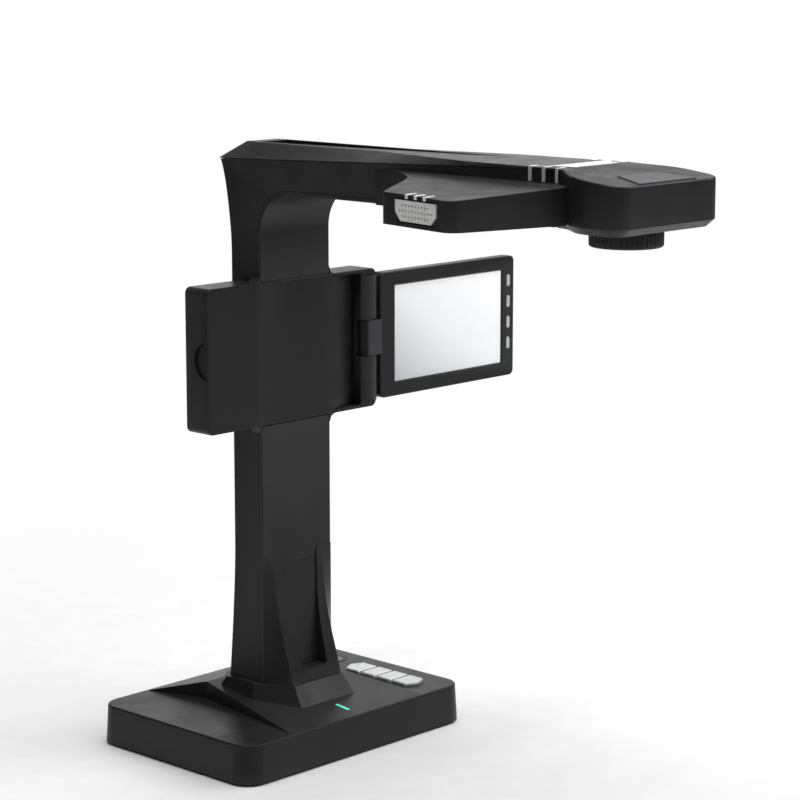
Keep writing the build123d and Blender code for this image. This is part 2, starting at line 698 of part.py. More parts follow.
def rounded_slab(left, right, bottom, top, radius):
    """Rounded rectangle in a sketch on a plane that faces -Y."""
    with Locations(((left + right) / 2, (bottom + top) / 2)):
        RectangleRounded(right - left, top - bottom, radius)


with BuildPart() as dock_housing:
    with BuildSketch(Plane.XZ.offset(-DOCK_REAR + DOCK_BACK)):
        rounded_slab(DOCK_LEFT, DOCK_RIGHT, DOCK_BOTTOM, DOCK_TOP, DOCK_CORNER)
    extrude(amount=DOCK_REAR - DOCK_BACK - COLUMN_FRONT)
    fillet(dock_housing.faces().sort_by(Axis.Y)[0].edges(), 0.8)
    with BuildSketch(Plane.XY.offset(DOCK_BOTTOM + WALL)):
        with BuildLine():
            Line((SCOOP_START, COLUMN_FRONT - 1), (SCOOP_START, COLUMN_FRONT))
            TangentArc((SCOOP_START, COLUMN_FRONT), (POST_LEFT, COLUMN_FRONT + SCOOP_DEPTH), tangent=(1, 0.06))
            Line((POST_LEFT, COLUMN_FRONT + SCOOP_DEPTH), (POST_LEFT, COLUMN_FRONT - 1))
            Line((POST_LEFT, COLUMN_FRONT - 1), (SCOOP_START, COLUMN_FRONT - 1))
        make_face()
    extrude(amount=DOCK_TOP - DOCK_BOTTOM - 2 * WALL, mode=Mode.SUBTRACT)
    with BuildSketch(Plane.XY.offset(DOCK_BOTTOM + BEAD_TAPER)):
        with BuildLine():
            Line((POST_LEFT, COLUMN_FRONT + 1), (POST_LEFT, COLUMN_FRONT))
            ThreePointArc(
                (POST_LEFT, COLUMN_FRONT), ((POST_LEFT + DOCK_RIGHT) / 2, COLUMN_FRONT - BEAD_RISE),
                (DOCK_RIGHT, COLUMN_FRONT),
            )
            Line((DOCK_RIGHT, COLUMN_FRONT), (DOCK_RIGHT, COLUMN_FRONT + 1))
            Line((DOCK_RIGHT, COLUMN_FRONT + 1), (POST_LEFT, COLUMN_FRONT + 1))
        make_face()
    extrude(amount=DOCK_TOP - DOCK_BOTTOM - 2 * BEAD_TAPER)
    with BuildSketch(Plane.XY.offset(HINGE_Z - NICHE_HEIGHT / 2)):
        with Locations(((POST_LEFT + DOCK_RIGHT) / 2, NICHE_BACK - 10)):
            Rectangle(DOCK_RIGHT - POST_LEFT + 2, 20)
    extrude(amount=NICHE_HEIGHT, mode=Mode.SUBTRACT)
    with BuildSketch(Plane.XY.offset(DOCK_BOTTOM + 1)):
        with Locations((0, SPINE_Y)):
            Rectangle(2 * COLUMN_HALF + 0.2, COLUMN_REAR - COLUMN_FRONT - 2 * WALL - 2 * SEAM)
        with Locations((0, COLUMN_REAR)):
            Rectangle(2 * COLUMN_HALF + 0.2, 2 * COLUMN_REAR)
    extrude(amount=DOCK_TOP - DOCK_BOTTOM + 2, both=True, mode=Mode.SUBTRACT)
    with BuildSketch(Plane.XZ.offset(-DOCK_REAR)):
        rounded_slab(DOCK_LEFT + WALL, -COLUMN_HALF - WALL, DOCK_BOTTOM + WALL, DOCK_TOP - WALL, 2)
    extrude(amount=DOCK_REAR - COLUMN_FRONT - WALL, mode=Mode.SUBTRACT)
    with BuildSketch(Plane.XZ.offset(-DOCK_REAR)):
        rounded_slab(COLUMN_HALF + WALL, DOCK_RIGHT - WALL, DOCK_BOTTOM + WALL, DOCK_TOP - WALL, 2)
    extrude(amount=DOCK_REAR - COLUMN_FRONT - SCOOP_DEPTH - WALL, mode=Mode.SUBTRACT)
    with BuildSketch(Plane.XY.offset(HINGE_Z)):
        with Locations((HINGE_X, HINGE_Y)):
            Circle(HINGE_PIN + FIT)
    extrude(amount=BLOCK_HEIGHT, both=True, mode=Mode.SUBTRACT)
    with BuildSketch(Plane.YZ.offset(DOCK_LEFT - 1)):
        with Locations((COLUMN_FRONT, HINGE_Z)):
            Circle(NOTCH_RADIUS)
        with Locations((COLUMN_FRONT - NOTCH_RADIUS + 1.5, HINGE_Z)):
            Rectangle(2 * NOTCH_RADIUS, 2 * NOTCH_RADIUS, mode=Mode.SUBTRACT)
    extrude(amount=NOTCH_DEPTH + 1, mode=Mode.SUBTRACT)
    with BuildSketch(Plane.XZ.offset(-COLUMN_FRONT - WEB_DEPTH)):
        for side in (-1, 1):
            for edge, outward in ((DOCK_TOP, 1), (DOCK_BOTTOM, -1)):
                add(web_outline(side, edge, outward))
    extrude(amount=WEB_DEPTH)
    for x, depth in ((DOCK_SCREW_LEFT, BOSS_DEEP), (DOCK_SCREW_RIGHT, BOSS_SHALLOW)):
        with BuildSketch(Plane.XZ.offset(-DOCK_REAR + DOCK_BACK)):
            with Locations((x, DOCK_MIDDLE)):
                with GridLocations(1, DOCK_SCREW_SPAN, 1, 2):
                    Circle(DOCK_SCREW_RADIUS + WALL)
                    Circle(DOCK_SCREW_RADIUS + FIT, mode=Mode.SUBTRACT)
        extrude(amount=depth)
dock_housing.part.label = "dock_housing"
export_step(dock_housing.part, "parts/dock_housing.step")

with BuildPart() as dock_back_cover:
    with BuildSketch(Plane.XZ.offset(-DOCK_REAR)):
        rounded_slab(DOCK_LEFT, DOCK_RIGHT, DOCK_BOTTOM, DOCK_TOP, DOCK_CORNER)
        with Locations((0, DOCK_MIDDLE)):
            Rectangle(2 * COLUMN_HALF + 0.2, DOCK_TOP - DOCK_BOTTOM + 2, mode=Mode.SUBTRACT)
        with Locations(*DOCK_SCREW_SPOTS):
            Circle(DOCK_SCREW_RADIUS + FIT, mode=Mode.SUBTRACT)
    extrude(amount=DOCK_BACK)
    fillet(dock_back_cover.edges().filter_by(is_back_edge), EDGE_ROUND)
    with BuildSketch(Plane.XZ.offset(-DOCK_REAR)):
        with Locations(*DOCK_SCREW_SPOTS):
            Circle(DOCK_SCREW_HEAD + FIT)
    extrude(amount=DOCK_SCREW_SINK, mode=Mode.SUBTRACT)
dock_back_cover.part.label = "dock_back_cover"
export_step(dock_back_cover.part, "parts/dock_back_cover.step")

with BuildPart() as dock_screws:
    with BuildSketch(Plane.XZ.offset(-DOCK_REAR + DOCK_SCREW_SINK)):
        with Locations(*DOCK_SCREW_SPOTS):
            Circle(DOCK_SCREW_HEAD)
            RegularPolygon(1.2, 6, mode=Mode.SUBTRACT)
    extrude(amount=-1)
    with BuildSketch(Plane.XZ.offset(-DOCK_REAR + DOCK_SCREW_SINK)):
        with Locations(*DOCK_SCREW_SPOTS):
            Circle(DOCK_SCREW_RADIUS)
    extrude(amount=7)
dock_screws.part.label = "dock_screws"
export_step(dock_screws.part, "parts/dock_screws.step")

# ---- screen ----
SCREEN_RIGHT = SCREEN_LEFT + SCREEN_WIDTH
SCREEN_BOTTOM = HINGE_Z - SCREEN_HEIGHT / 2
SCREEN_TOP = HINGE_Z + SCREEN_HEIGHT / 2
SCREEN_SPLIT = SCREEN_FRONT + 5.0
SCREEN_REAR = SCREEN_FRONT + SCREEN_THICK
BLOCK_FRONT = -18.6
BLOCK_BACK = -10.6
BLOCK_LEFT = 62.6
SHAFT_RADIUS = 2.0
SHAFT_Y = -12.6
SHAFT_END = 84.0
BEZEL_WALL = 1.8
PANEL_DEPTH = 1.3
PANEL_THICK = 1.9
SCREEN_KEYS_Z = HINGE_Z + 3.0


def screen_key_centre(index):
    """Z of a screen key, counted from the top."""
    return SCREEN_KEYS_Z + SCREEN_KEY_PITCH * (1.5 - index)


with BuildPart() as hinge_pin:
    with BuildSketch(Plane.XY.offset(HINGE_Z - 20)):
        with Locations((HINGE_X, HINGE_Y)):
            Circle(HINGE_PIN)
    extrude(amount=40)
hinge_pin.part.label = "hinge_pin"
export_step(hinge_pin.part, "parts/hinge_pin.step")

with BuildPart() as hinge_block:
    with BuildSketch(Plane.XY.offset(HINGE_Z - BLOCK_HEIGHT / 2)):
        with Locations(((BLOCK_LEFT + SCREEN_LEFT) / 2, (BLOCK_FRONT + BLOCK_BACK) / 2)):
            RectangleRounded(SCREEN_LEFT - BLOCK_LEFT, BLOCK_BACK - BLOCK_FRONT, 1.0)
        with Locations((HINGE_X, HINGE_Y)):
            Circle(HINGE_PIN + FIT, mode=Mode.SUBTRACT)
    extrude(amount=BLOCK_HEIGHT)
    with BuildSketch(Plane.YZ.offset(SCREEN_LEFT)):
        with Locations((SHAFT_Y, HINGE_Z)):
            Circle(SHAFT_RADIUS)
    extrude(amount=SHAFT_END - SCREEN_LEFT)
hinge_block.part.label = "hinge_block"
export_step(hinge_block.part, "parts/hinge_block.step")

with BuildPart() as screen_bezel:
    with BuildSketch(Plane.XZ.offset(-SCREEN_SPLIT)):
        rounded_slab(SCREEN_LEFT, SCREEN_RIGHT, SCREEN_BOTTOM, SCREEN_TOP, 4)
    extrude(amount=SCREEN_SPLIT - SCREEN_FRONT)
    fillet(screen_bezel.faces().sort_by(Axis.Y)[0].edges(), 0.8)
    with BuildSketch(Plane.XZ.offset(-SCREEN_SPLIT)):
        rounded_slab(
            SCREEN_LEFT + BEZEL_WALL, SCREEN_RIGHT - BEZEL_WALL, SCREEN_BOTTOM + BEZEL_WALL,
            SCREEN_TOP - BEZEL_WALL, 2.5,
        )
    extrude(amount=SCREEN_SPLIT - SCREEN_FRONT - PANEL_DEPTH, mode=Mode.SUBTRACT)
    with BuildSketch(Plane.XZ.offset(-SCREEN_FRONT - PANEL_DEPTH)):
        with Locations((DISPLAY_X, HINGE_Z)):
            Rectangle(DISPLAY_WIDTH, DISPLAY_HEIGHT)
    extrude(amount=2 * PANEL_DEPTH, taper=-35, mode=Mode.SUBTRACT)
    with BuildSketch(Plane.XZ.offset(-SCREEN_FRONT + 1)):
        for key in range(4):
            with Locations((SCREEN_KEY_X, screen_key_centre(key))):
                SlotOverall(SCREEN_KEY_LENGTH + 2 * KEY_GAP, SCREEN_KEY_WIDTH + 2 * KEY_GAP, rotation=90)
    extrude(amount=-4, mode=Mode.SUBTRACT)
    with BuildSketch(Plane.YZ.offset(SCREEN_LEFT - 1)):
        with Locations((SHAFT_Y, HINGE_Z)):
            Circle(SHAFT_RADIUS + FIT)
    extrude(amount=4, mode=Mode.SUBTRACT)
screen_bezel.part.label = "screen_bezel"
export_step(screen_bezel.part, "parts/screen_bezel.step")

with BuildPart() as screen_back:
    with BuildSketch(Plane.XZ.offset(-SCREEN_REAR)):
        rounded_slab(SCREEN_LEFT, SCREEN_RIGHT, SCREEN_BOTTOM, SCREEN_TOP, 4)
    extrude(amount=SCREEN_REAR - SCREEN_SPLIT)
    fillet(screen_back.faces().sort_by(Axis.Y)[-1].edges(), 2.2)
    with BuildSketch(Plane.XZ.offset(-SCREEN_REAR + BEZEL_WALL)):
        rounded_slab(
            SCREEN_LEFT + BEZEL_WALL, SCREEN_RIGHT - BEZEL_WALL, SCREEN_BOTTOM + BEZEL_WALL,
            SCREEN_TOP - BEZEL_WALL, 2.5,
        )
    extrude(amount=SCREEN_REAR - SCREEN_SPLIT, mode=Mode.SUBTRACT)
    with BuildSketch(Plane.YZ.offset(SCREEN_LEFT - 1)):
        with Locations((SHAFT_Y, HINGE_Z)):
            Circle(SHAFT_RADIUS + FIT)
    extrude(amount=4, mode=Mode.SUBTRACT)
screen_back.part.label = "screen_back"
export_step(screen_back.part, "parts/screen_back.step")

PANEL_FRONT = SCREEN_FRONT + PANEL_DEPTH

with BuildPart() as screen_panel:
    with BuildSketch(Plane.XZ.offset(-PANEL_FRONT - PANEL_THICK)):
        with Locations((DISPLAY_X, HINGE_Z)):
            Rectangle(DISPLAY_WIDTH + 3, DISPLAY_HEIGHT + 3)
    extrude(amount=PANEL_THICK)
screen_panel.part.label = "screen_panel"
export_step(screen_panel.part, "parts/screen_panel.step")

SCREEN_BOARD_FRONT = -11.6

with BuildPart() as screen_board:
    with BuildSketch(Plane.XZ.offset(-SCREEN_BOARD_FRONT)):
        with Locations((150.0, HINGE_Z)):
            Rectangle(114, 72)
    extrude(amount=-1.2)
    with BuildSketch(Plane.XZ.offset(-SCREEN_BOARD_FRONT)):
        for key in range(4):
            with Locations((SCREEN_KEY_X, screen_key_centre(key))):
                Rectangle(2.6, 4.2)
    extrude(amount=1.2)
screen_board.part.label = "screen_board"
export_step(screen_board.part, "parts/screen_board.step")

for key in range(4):
    with BuildPart() as screen_key:
        with BuildSketch(Plane.XZ.offset(-SCREEN_FRONT - PANEL_DEPTH - 0.3)):
            with Locations((SCREEN_KEY_X, screen_key_centre(key))):
                SlotOverall(SCREEN_KEY_LENGTH + 1.6, SCREEN_KEY_WIDTH + 1.2, rotation=90)
        extrude(amount=-0.8)
        with BuildSketch(Plane.XZ.offset(-SCREEN_FRONT - PANEL_DEPTH - 0.3)):
            with Locations((SCREEN_KEY_X, screen_key_centre(key))):
                SlotOverall(SCREEN_KEY_LENGTH, SCREEN_KEY_WIDTH, rotation=90)
        extrude(amount=PANEL_DEPTH + 0.3 + SCREEN_KEY_RISE)
        fillet(screen_key.faces().sort_by(Axis.Y)[0].edges(), 0.3)
    screen_key.part.label = f"screen_key_{key + 1}"
    export_step(screen_key.part, f"parts/screen_key_{key + 1}.step")

# ---- arm top ----
CHAMFER_INNER = 13.6
CHAMFER_KNEE_Y = -106.0
CHAMFER_FADE_Y = -185.0
CHAMFER_FADE_X = 29.5
CHANNEL_HALF = 11.5
CHANNEL_REAR = 5.0
CHANNEL_FRONT = -193.0
CHANNEL_DEPTH = 2.2
ROOF = 4.6


def arm_top_section(y, inner, drop):
    """Section of the arm's top at one place: a low side, a bevel and a flat top."""
    half = COLUMN_HALF - (WALL if drop else 0)
    top = ARM_TOP - drop
    edge = min(top_split(y) + SEAM - drop / 2, top - SEAM)
    floor = top_split(y) - drop
    bevel = min(inner, half - SEAM)
    with BuildSketch(Plane.XZ.offset(-y)) as section:
        with BuildLine():
            Polyline(
                (-half, floor), (-half, edge), (-bevel, top), (bevel, top), (half, edge), (half, floor),
                close=True,
            )
        make_face()
    return section.sketch


def arm_top_block(rear, end, drop):
    """Everything above the slanting side seam, lowered and narrowed when drop isn't zero."""
    stations = (
        (rear, CHAMFER_INNER), (CHAMFER_KNEE_Y, CHAMFER_INNER), (CHAMFER_FADE_Y, CHAMFER_FADE_X),
        (end, COLUMN_HALF),
    )
    sections = [arm_top_section(y, inner, drop) for y, inner in stations]
    with BuildPart() as block:
        loft(sections=sections, ruled=True)
    return block.part


def is_arm_top_edge(edge):
    """Long edge where a side, a bevel and the flat top meet."""
    middle = edge.center()
    long_enough = edge.bounding_box().size.Y > 20
    return long_enough and abs(middle.X) > CHANNEL_HALF + SEAM and middle.Z > ARM_TOP - 2


with BuildPart() as arm_top_cover:
    add(arm_top_block(FLARE_Y, ARM_END, 0))
    add(arm_top_block(FLARE_LIP_Y - 2 * WALL, ARM_END - 5, ROOF), mode=Mode.SUBTRACT)
    with BuildSketch(Plane.YZ.offset(-COLUMN_HALF)):
        with BuildLine():
            Polyline((FLARE_LIP_Y, ARM_TOP), (FLARE_Y, FLARE_TOP), (FLARE_Y + 1, ARM_TOP), close=True)
        make_face()
    extrude(amount=2 * COLUMN_HALF, mode=Mode.SUBTRACT)
    with BuildSketch(Plane.YZ.offset(-CHANNEL_HALF)):
        with BuildLine():
            Polyline(
                (CHANNEL_REAR, ARM_TOP + 2), (CHANNEL_REAR, ARM_TOP - CHANNEL_DEPTH), (CHANNEL_FRONT, ARM_TOP),
                (CHANNEL_FRONT, ARM_TOP + 2), close=True,
            )
        make_face()
    extrude(amount=2 * CHANNEL_HALF, mode=Mode.SUBTRACT)
    fillet(arm_top_cover.edges().filter_by(is_arm_top_edge), EDGE_ROUND)
arm_top_cover.part.label = "arm_top_cover"
export_step(arm_top_cover.part, "parts/arm_top_cover.step")


# ---- head ----
HEAD_REAR = ARM_END
FLARE_START = -252.0
FLARE_FULL = -292.0


def head_outline(rear, inset):
    """Plan of the head: the arm's width, an S-curve out to the full width and a square front."""
    half = HEAD_HALF - inset
    narrow = COLUMN_HALF - inset
    front = HEAD_FRONT + inset
    corner = HEAD_CORNER - inset
    with BuildSketch() as outline:
        with BuildLine():
            Line((0, rear), (narrow, rear))
            Line((narrow, rear), (narrow, FLARE_START))
            Spline((narrow, FLARE_START), (half, FLARE_FULL), tangents=[(0, -1), (0, -1)])
            Line((half, FLARE_FULL), (half, front + corner))
            RadiusArc((half, front + corner), (half - corner, front), corner)
            Line((half - corner, front), (0, front))
            mirror(about=Plane.YZ)
        make_face()
    return outline.sketch


def head_block(inset, bottom, rear=HEAD_REAR):
    """Head's outside, or its hollow when inset, up to the top that falls towards the front."""
    with BuildPart() as block:
        with BuildSketch(Plane.XY.offset(bottom)):
            add(head_outline(rear, inset))
        extrude(amount=ARM_TOP - inset - bottom)
        with BuildSketch(Plane.YZ.offset(-HEAD_HALF - 2)):
            with BuildLine():
                Polyline(
                    (HEAD_FALL_START, ARM_TOP - inset), (HEAD_FRONT, HEAD_FALL_END - inset),
                    (HEAD_FRONT - 5, HEAD_FALL_END - inset), (HEAD_FRONT - 5, ARM_TOP + 5),
                    (HEAD_FALL_START, ARM_TOP + 5), close=True,
                )
            make_face()
        extrude(amount=2 * HEAD_HALF + 4, mode=Mode.SUBTRACT)
    return block.part


def is_head_top_edge(edge):
    """Outer edge of the head's top, apart from the joint with the arm."""
    middle = edge.center()
    return middle.Z > HEAD_FALL_END - SEAM and (abs(middle.X) > COLUMN_HALF - SEAM or middle.Y < HEAD_FRONT + 1)


# x and y of the screws under the head, and how high the post over each one reaches
HEAD_SCREWS = ((24.0, -254.0, ARM_TOP - 1), (34.0, -302.0, HEAD_FALL_END))
HEAD_SCREW_SPOTS = [(side * x, y) for x, y, _ in HEAD_SCREWS for side in (-1, 1)]
POST_BOTTOM = ARM_BOTTOM + 2.0 + FIT
SMALL_SCREW = 1.3
SMALL_HEAD = 2.6
SMALL_SINK = 1.4
HEAD_ROUND = 1.0
CAMERA_POCKET = 361.0

with BuildPart() as head_cover:
    add(head_block(0, ARM_BOTTOM))
    fillet(head_cover.edges().filter_by(is_head_top_edge), HEAD_ROUND)
    add(head_block(WALL, ARM_BOTTOM), mode=Mode.SUBTRACT)
    for x, y, reach in HEAD_SCREWS:
        with BuildSketch(Plane.XY.offset(POST_BOTTOM)):
            with Locations((-x, y), (x, y)):
                Circle(SMALL_SCREW + WALL)
        extrude(amount=reach - POST_BOTTOM)
    with BuildSketch(Plane.XY.offset(POST_BOTTOM)):
        with Locations(*HEAD_SCREW_SPOTS):
            Circle(SMALL_SCREW + FIT)
    extrude(amount=8, mode=Mode.SUBTRACT)
head_cover.part.label = "head_cover"
export_step(head_cover.part, "parts/head_cover.step")

with BuildPart() as head_base:
    with BuildSketch(Plane.XY.offset(PAN_BOTTOM)):
        add(head_outline(PAN_REAR - PAN_BEVEL, PAN_BEVEL))
    with BuildSketch(Plane.XY.offset(ARM_BOTTOM)):
        add(head_outline(PAN_REAR, 0))
    loft(ruled=True)
    with BuildSketch(Plane.XY.offset(ARM_BOTTOM)):
        add(head_outline(PAN_REAR, WALL + SEAM))
    extrude(amount=2.0)
    with BuildSketch(Plane.XY.offset(ARM_BOTTOM + 2)):
        with Locations((0, LENS_Y)):
            Rectangle(50, 40)
    extrude(amount=CAMERA_POCKET - ARM_BOTTOM - 2, mode=Mode.SUBTRACT)
    with BuildSketch(Plane.XY.offset(PAN_BOTTOM - 1)):
        with Locations((0, LENS_Y)):
            Circle(BARREL_RADIUS + FIT)
        with Locations(*HEAD_SCREW_SPOTS):
            Circle(SMALL_SCREW + FIT)
    extrude(amount=12, mode=Mode.SUBTRACT)
    with BuildSketch(Plane.XY.offset(PAN_BOTTOM)):
        with Locations(*HEAD_SCREW_SPOTS):
            Circle(SMALL_HEAD + FIT)
    extrude(amount=SMALL_SINK, mode=Mode.SUBTRACT)
head_base.part.label = "head_base"
export_step(head_base.part, "parts/head_base.step")

with BuildPart() as head_screws:
    with BuildSketch(Plane.XY.offset(PAN_BOTTOM + SMALL_SINK)):
        with Locations(*HEAD_SCREW_SPOTS):
            Circle(SMALL_HEAD)
            RegularPolygon(1.2, 6, mode=Mode.SUBTRACT)
    extrude(amount=-1)
    with BuildSketch(Plane.XY.offset(PAN_BOTTOM + SMALL_SINK)):
        with Locations(*HEAD_SCREW_SPOTS):
            Circle(SMALL_SCREW)
    extrude(amount=12)
head_screws.part.label = "head_screws"
export_step(head_screws.part, "parts/head_screws.step")

TRIM = 0.5
PLATE_REAR = -247.0
PLATE_FRONT = -261.5

with BuildPart() as arm_top_plate:
    with BuildSketch(Plane.XY.offset(ARM_TOP)):
        with BuildLine():
            Polyline((-24, PLATE_REAR), (24, PLATE_REAR), (20, PLATE_FRONT), (-20, PLATE_FRONT), close=True)
        make_face()
    extrude(amount=TRIM)
arm_top_plate.part.label = "arm_top_plate"
export_step(arm_top_plate.part, "parts/arm_top_plate.step")

HEAD_SLOPE = math.degrees(math.atan2(ARM_TOP - HEAD_FALL_END, HEAD_FALL_START - HEAD_FRONT))
HEAD_PLANE = Plane(
    origin=(0, HEAD_FALL_START, ARM_TOP), x_dir=(1, 0, 0),
    z_dir=(0, -math.sin(math.radians(HEAD_SLOPE)), math.cos(math.radians(HEAD_SLOPE))),
)

with BuildPart() as head_inlay:
    with BuildSketch(HEAD_PLANE):
        with BuildLine():
            Polyline((-18, -29), (18, -29), (26, -51), (-26, -51), close=True)
        make_face()
    extrude(amount=TRIM)
head_inlay.part.label = "head_inlay"
export_step(head_inlay.part, "parts/head_inlay.step")

# ---- camera ----
CAMERA_BOARD_Z = 366.2
BARREL_BOTTOM = 349.7
RING_TOP = PAN_BOTTOM - SEAM
RING_CHAMFER = 1.6
GLASS_SINK = 1.5
GLASS_THICK = 3.0
BARREL_WALL = 3.0
BARREL_FLANGE = 4.0
FLANGE_Z = CAMERA_POCKET

with BuildPart() as camera_board:
    with BuildSketch(Plane.XY.offset(CAMERA_BOARD_Z)):
        with Locations((0, LENS_Y)):
            Rectangle(40, 34)
    extrude(amount=BOARD_THICK)
    with BuildSketch(Plane.XY.offset(CAMERA_BOARD_Z)):
        with Locations((0, LENS_Y)):
            Rectangle(14, 12)
    extrude(amount=-1.2)
camera_board.part.label = "camera_board"
export_step(camera_board.part, "parts/camera_board.step")

with BuildPart() as lens_barrel:
    with BuildSketch(Plane.XY.offset(BARREL_BOTTOM)):
        with Locations((0, LENS_Y)):
            Circle(BARREL_RADIUS)
            Circle(BARREL_RADIUS - BARREL_WALL, mode=Mode.SUBTRACT)
    extrude(amount=CAMERA_BOARD_Z - BARREL_BOTTOM)
    with BuildSketch(Plane.XY.offset(FLANGE_Z)):
        with Locations((0, LENS_Y)):
            Circle(BARREL_RADIUS + BARREL_FLANGE)
            Circle(BARREL_RADIUS - 1, mode=Mode.SUBTRACT)
    extrude(amount=2)
lens_barrel.part.label = "lens_barrel"
export_step(lens_barrel.part, "parts/lens_barrel.step")

with BuildPart() as lens_ring:
    with BuildSketch(Plane.XY.offset(RING_BOTTOM)):
        with Locations((0, LENS_Y)):
            Circle(RING_RADIUS)
            Circle(BARREL_RADIUS + FIT, mode=Mode.SUBTRACT)
    extrude(amount=RING_TOP - RING_BOTTOM)
    chamfer(lens_ring.faces().sort_by(Axis.Z)[0].outer_wire().edges(), RING_CHAMFER)
lens_ring.part.label = "lens_ring"
export_step(lens_ring.part, "parts/lens_ring.step")

with BuildPart() as lens_glass:
    with BuildSketch(Plane.XY.offset(BARREL_BOTTOM + GLASS_SINK)):
        with Locations((0, LENS_Y)):
            Circle(BARREL_RADIUS - BARREL_WALL - FIT)
    extrude(amount=GLASS_THICK)
lens_glass.part.label = "lens_glass"
export_step(lens_glass.part, "parts/lens_glass.step")

# ---- light wings ----
TIP_REAR = Vector(*WING_TIP_REAR)
TIP_FRONT = Vector(*WING_TIP_FRONT)
TIP_ALONG = (TIP_FRONT - TIP_REAR).normalized()
TIP_MIDDLE = (TIP_REAR + TIP_FRONT) * 0.5
TIP_CORNER_REAR = 3.0
TIP_CORNER_FRONT = 9.0
TIP_PLANE = Plane(
    origin=(TIP_MIDDLE.X, TIP_MIDDLE.Y, 0), x_dir=(-TIP_ALONG.X, -TIP_ALONG.Y, 0),
    z_dir=(-TIP_ALONG.Y, TIP_ALONG.X, 0),
)
GRILLE_Z = WING_BOTTOM + 9.0
GRILLE_POCKET = 1.2
GRILLE_THICK = 1.5
WING_ROUND = 0.5
STRIPE_WIDTH = 2.5
STRIPE_WRAP = 6.5
WING_STRIPE_PITCH = 8.5
ARM_STRIPE_PITCH = 10.2
ARM_STRIPE_Y = -248.0
DIFFUSER_THICK = 2.0
LAMP_Z = WING_BOTTOM + 7.0


def wing_outline(inset):
    """Plan of the right wing: a swept rear edge that blends into the arm, and round tip corners."""
    with BuildSketch() as outline:
        with BuildLine():
            Line((COLUMN_HALF, WING_ROOT_FRONT), (COLUMN_HALF, WING_ROOT_REAR))
            TangentArc((COLUMN_HALF, WING_ROOT_REAR), WING_SWEEP, tangent=(0, -1))
            Polyline(WING_SWEEP, WING_TIP_REAR, WING_TIP_FRONT, WING_NOSE, (COLUMN_HALF, WING_ROOT_FRONT))
        make_face()
        tip = outline.vertices().group_by(Axis.X)
        fillet(tip[-1], TIP_CORNER_FRONT)
        fillet(outline.vertices().sort_by_distance((WING_TIP_REAR[0], WING_TIP_REAR[1], 0))[0], TIP_CORNER_REAR)
        if inset:
            offset(amount=-inset, mode=Mode.REPLACE)
    return outline.sketch


def wing_block(inset, bottom, drop):
    """Right wing from its flat bottom up to the top that falls towards the tip."""
    with BuildPart() as block:
        with BuildSketch(Plane.XY.offset(bottom)):
            add(wing_outline(inset))
        extrude(amount=WING_TOP - bottom)
        with BuildSketch(Plane.XZ.offset(-WING_ROOT_REAR - 20)):
            with BuildLine():
                Polyline(
                    (COLUMN_HALF - 5, WING_TOP - drop + 5 * WING_FALL), (COLUMN_HALF - 5, WING_TOP + 20),
                    (140, WING_TOP + 20), (140, WING_TOP - drop - (140 - COLUMN_HALF) * WING_FALL), close=True,
                )
            make_face()
        extrude(amount=-WING_ROOT_FRONT + WING_ROOT_REAR + 60, mode=Mode.SUBTRACT)
        add(head_block(-FIT, ARM_BOTTOM - 10), mode=Mode.SUBTRACT)
    return block.part


def grille_outline(gap):
    """Wide plate with its two lower corners cut, on the wing's end face."""
    half = GRILLE_WIDTH / 2 + gap
    tall = GRILLE_HEIGHT / 2 + gap
    cut = 5.0
    with BuildSketch() as outline:
        with BuildLine():
            Polyline(
                (-half, GRILLE_Z + tall), (half, GRILLE_Z + tall), (half, GRILLE_Z - tall + cut),
                (half - cut, GRILLE_Z - tall), (-half + cut, GRILLE_Z - tall), (-half, GRILLE_Z - tall + cut),
                close=True,
            )
        make_face()
    return outline.sketch


def is_wing_top_edge(edge):
    """Outer edge of the wing's top, apart from its root on the arm."""
    middle = edge.center()
    top_here = WING_TOP - (middle.X - COLUMN_HALF) * WING_FALL
    return abs(middle.Z - top_here) < 1 and middle.X > COLUMN_HALF + 5 and edge.length > 2


with BuildPart() as right_wing:
    add(wing_block(0, WING_BOTTOM, 0))
    fillet(right_wing.edges().filter_by(is_wing_top_edge), WING_ROUND)
    add(wing_block(WALL, WING_BOTTOM, WALL), mode=Mode.SUBTRACT)
    with BuildSketch(TIP_PLANE):
        add(grille_outline(GRILLE_GAP))
    extrude(amount=-GRILLE_POCKET, mode=Mode.SUBTRACT)

with BuildPart() as right_diffuser:
    add(wing_block(WALL + FIT, WING_BOTTOM, 0))
    with BuildSketch(Plane.XY.offset(WING_BOTTOM + DIFFUSER_THICK)):
        Rectangle(400, 800)
    extrude(amount=40, mode=Mode.SUBTRACT)

with BuildPart() as right_lamp:
    with BuildSketch(Plane.XY.offset(LAMP_Z)):
        with Locations((68, -220)):
            Rectangle(56, 44)
    extrude(amount=BOARD_THICK)
    with BuildSketch(Plane.XY.offset(LAMP_Z)):
        with Locations((68, -220)):
            with GridLocations(8.5, 9, 6, 4):
                Rectangle(3.5, 2.8)
    extrude(amount=-0.9)

with BuildPart() as right_grille:
    with BuildSketch(TIP_PLANE.offset(-GRILLE_POCKET)):
        add(grille_outline(0))
        for row, count in enumerate((9, 11, 9)):
            with Locations((0, GRILLE_Z + 3.1 * (1 - row))):
                with GridLocations(3.0, 1, count, 1):
                    Circle(0.72, mode=Mode.SUBTRACT)
    extrude(amount=GRILLE_THICK)

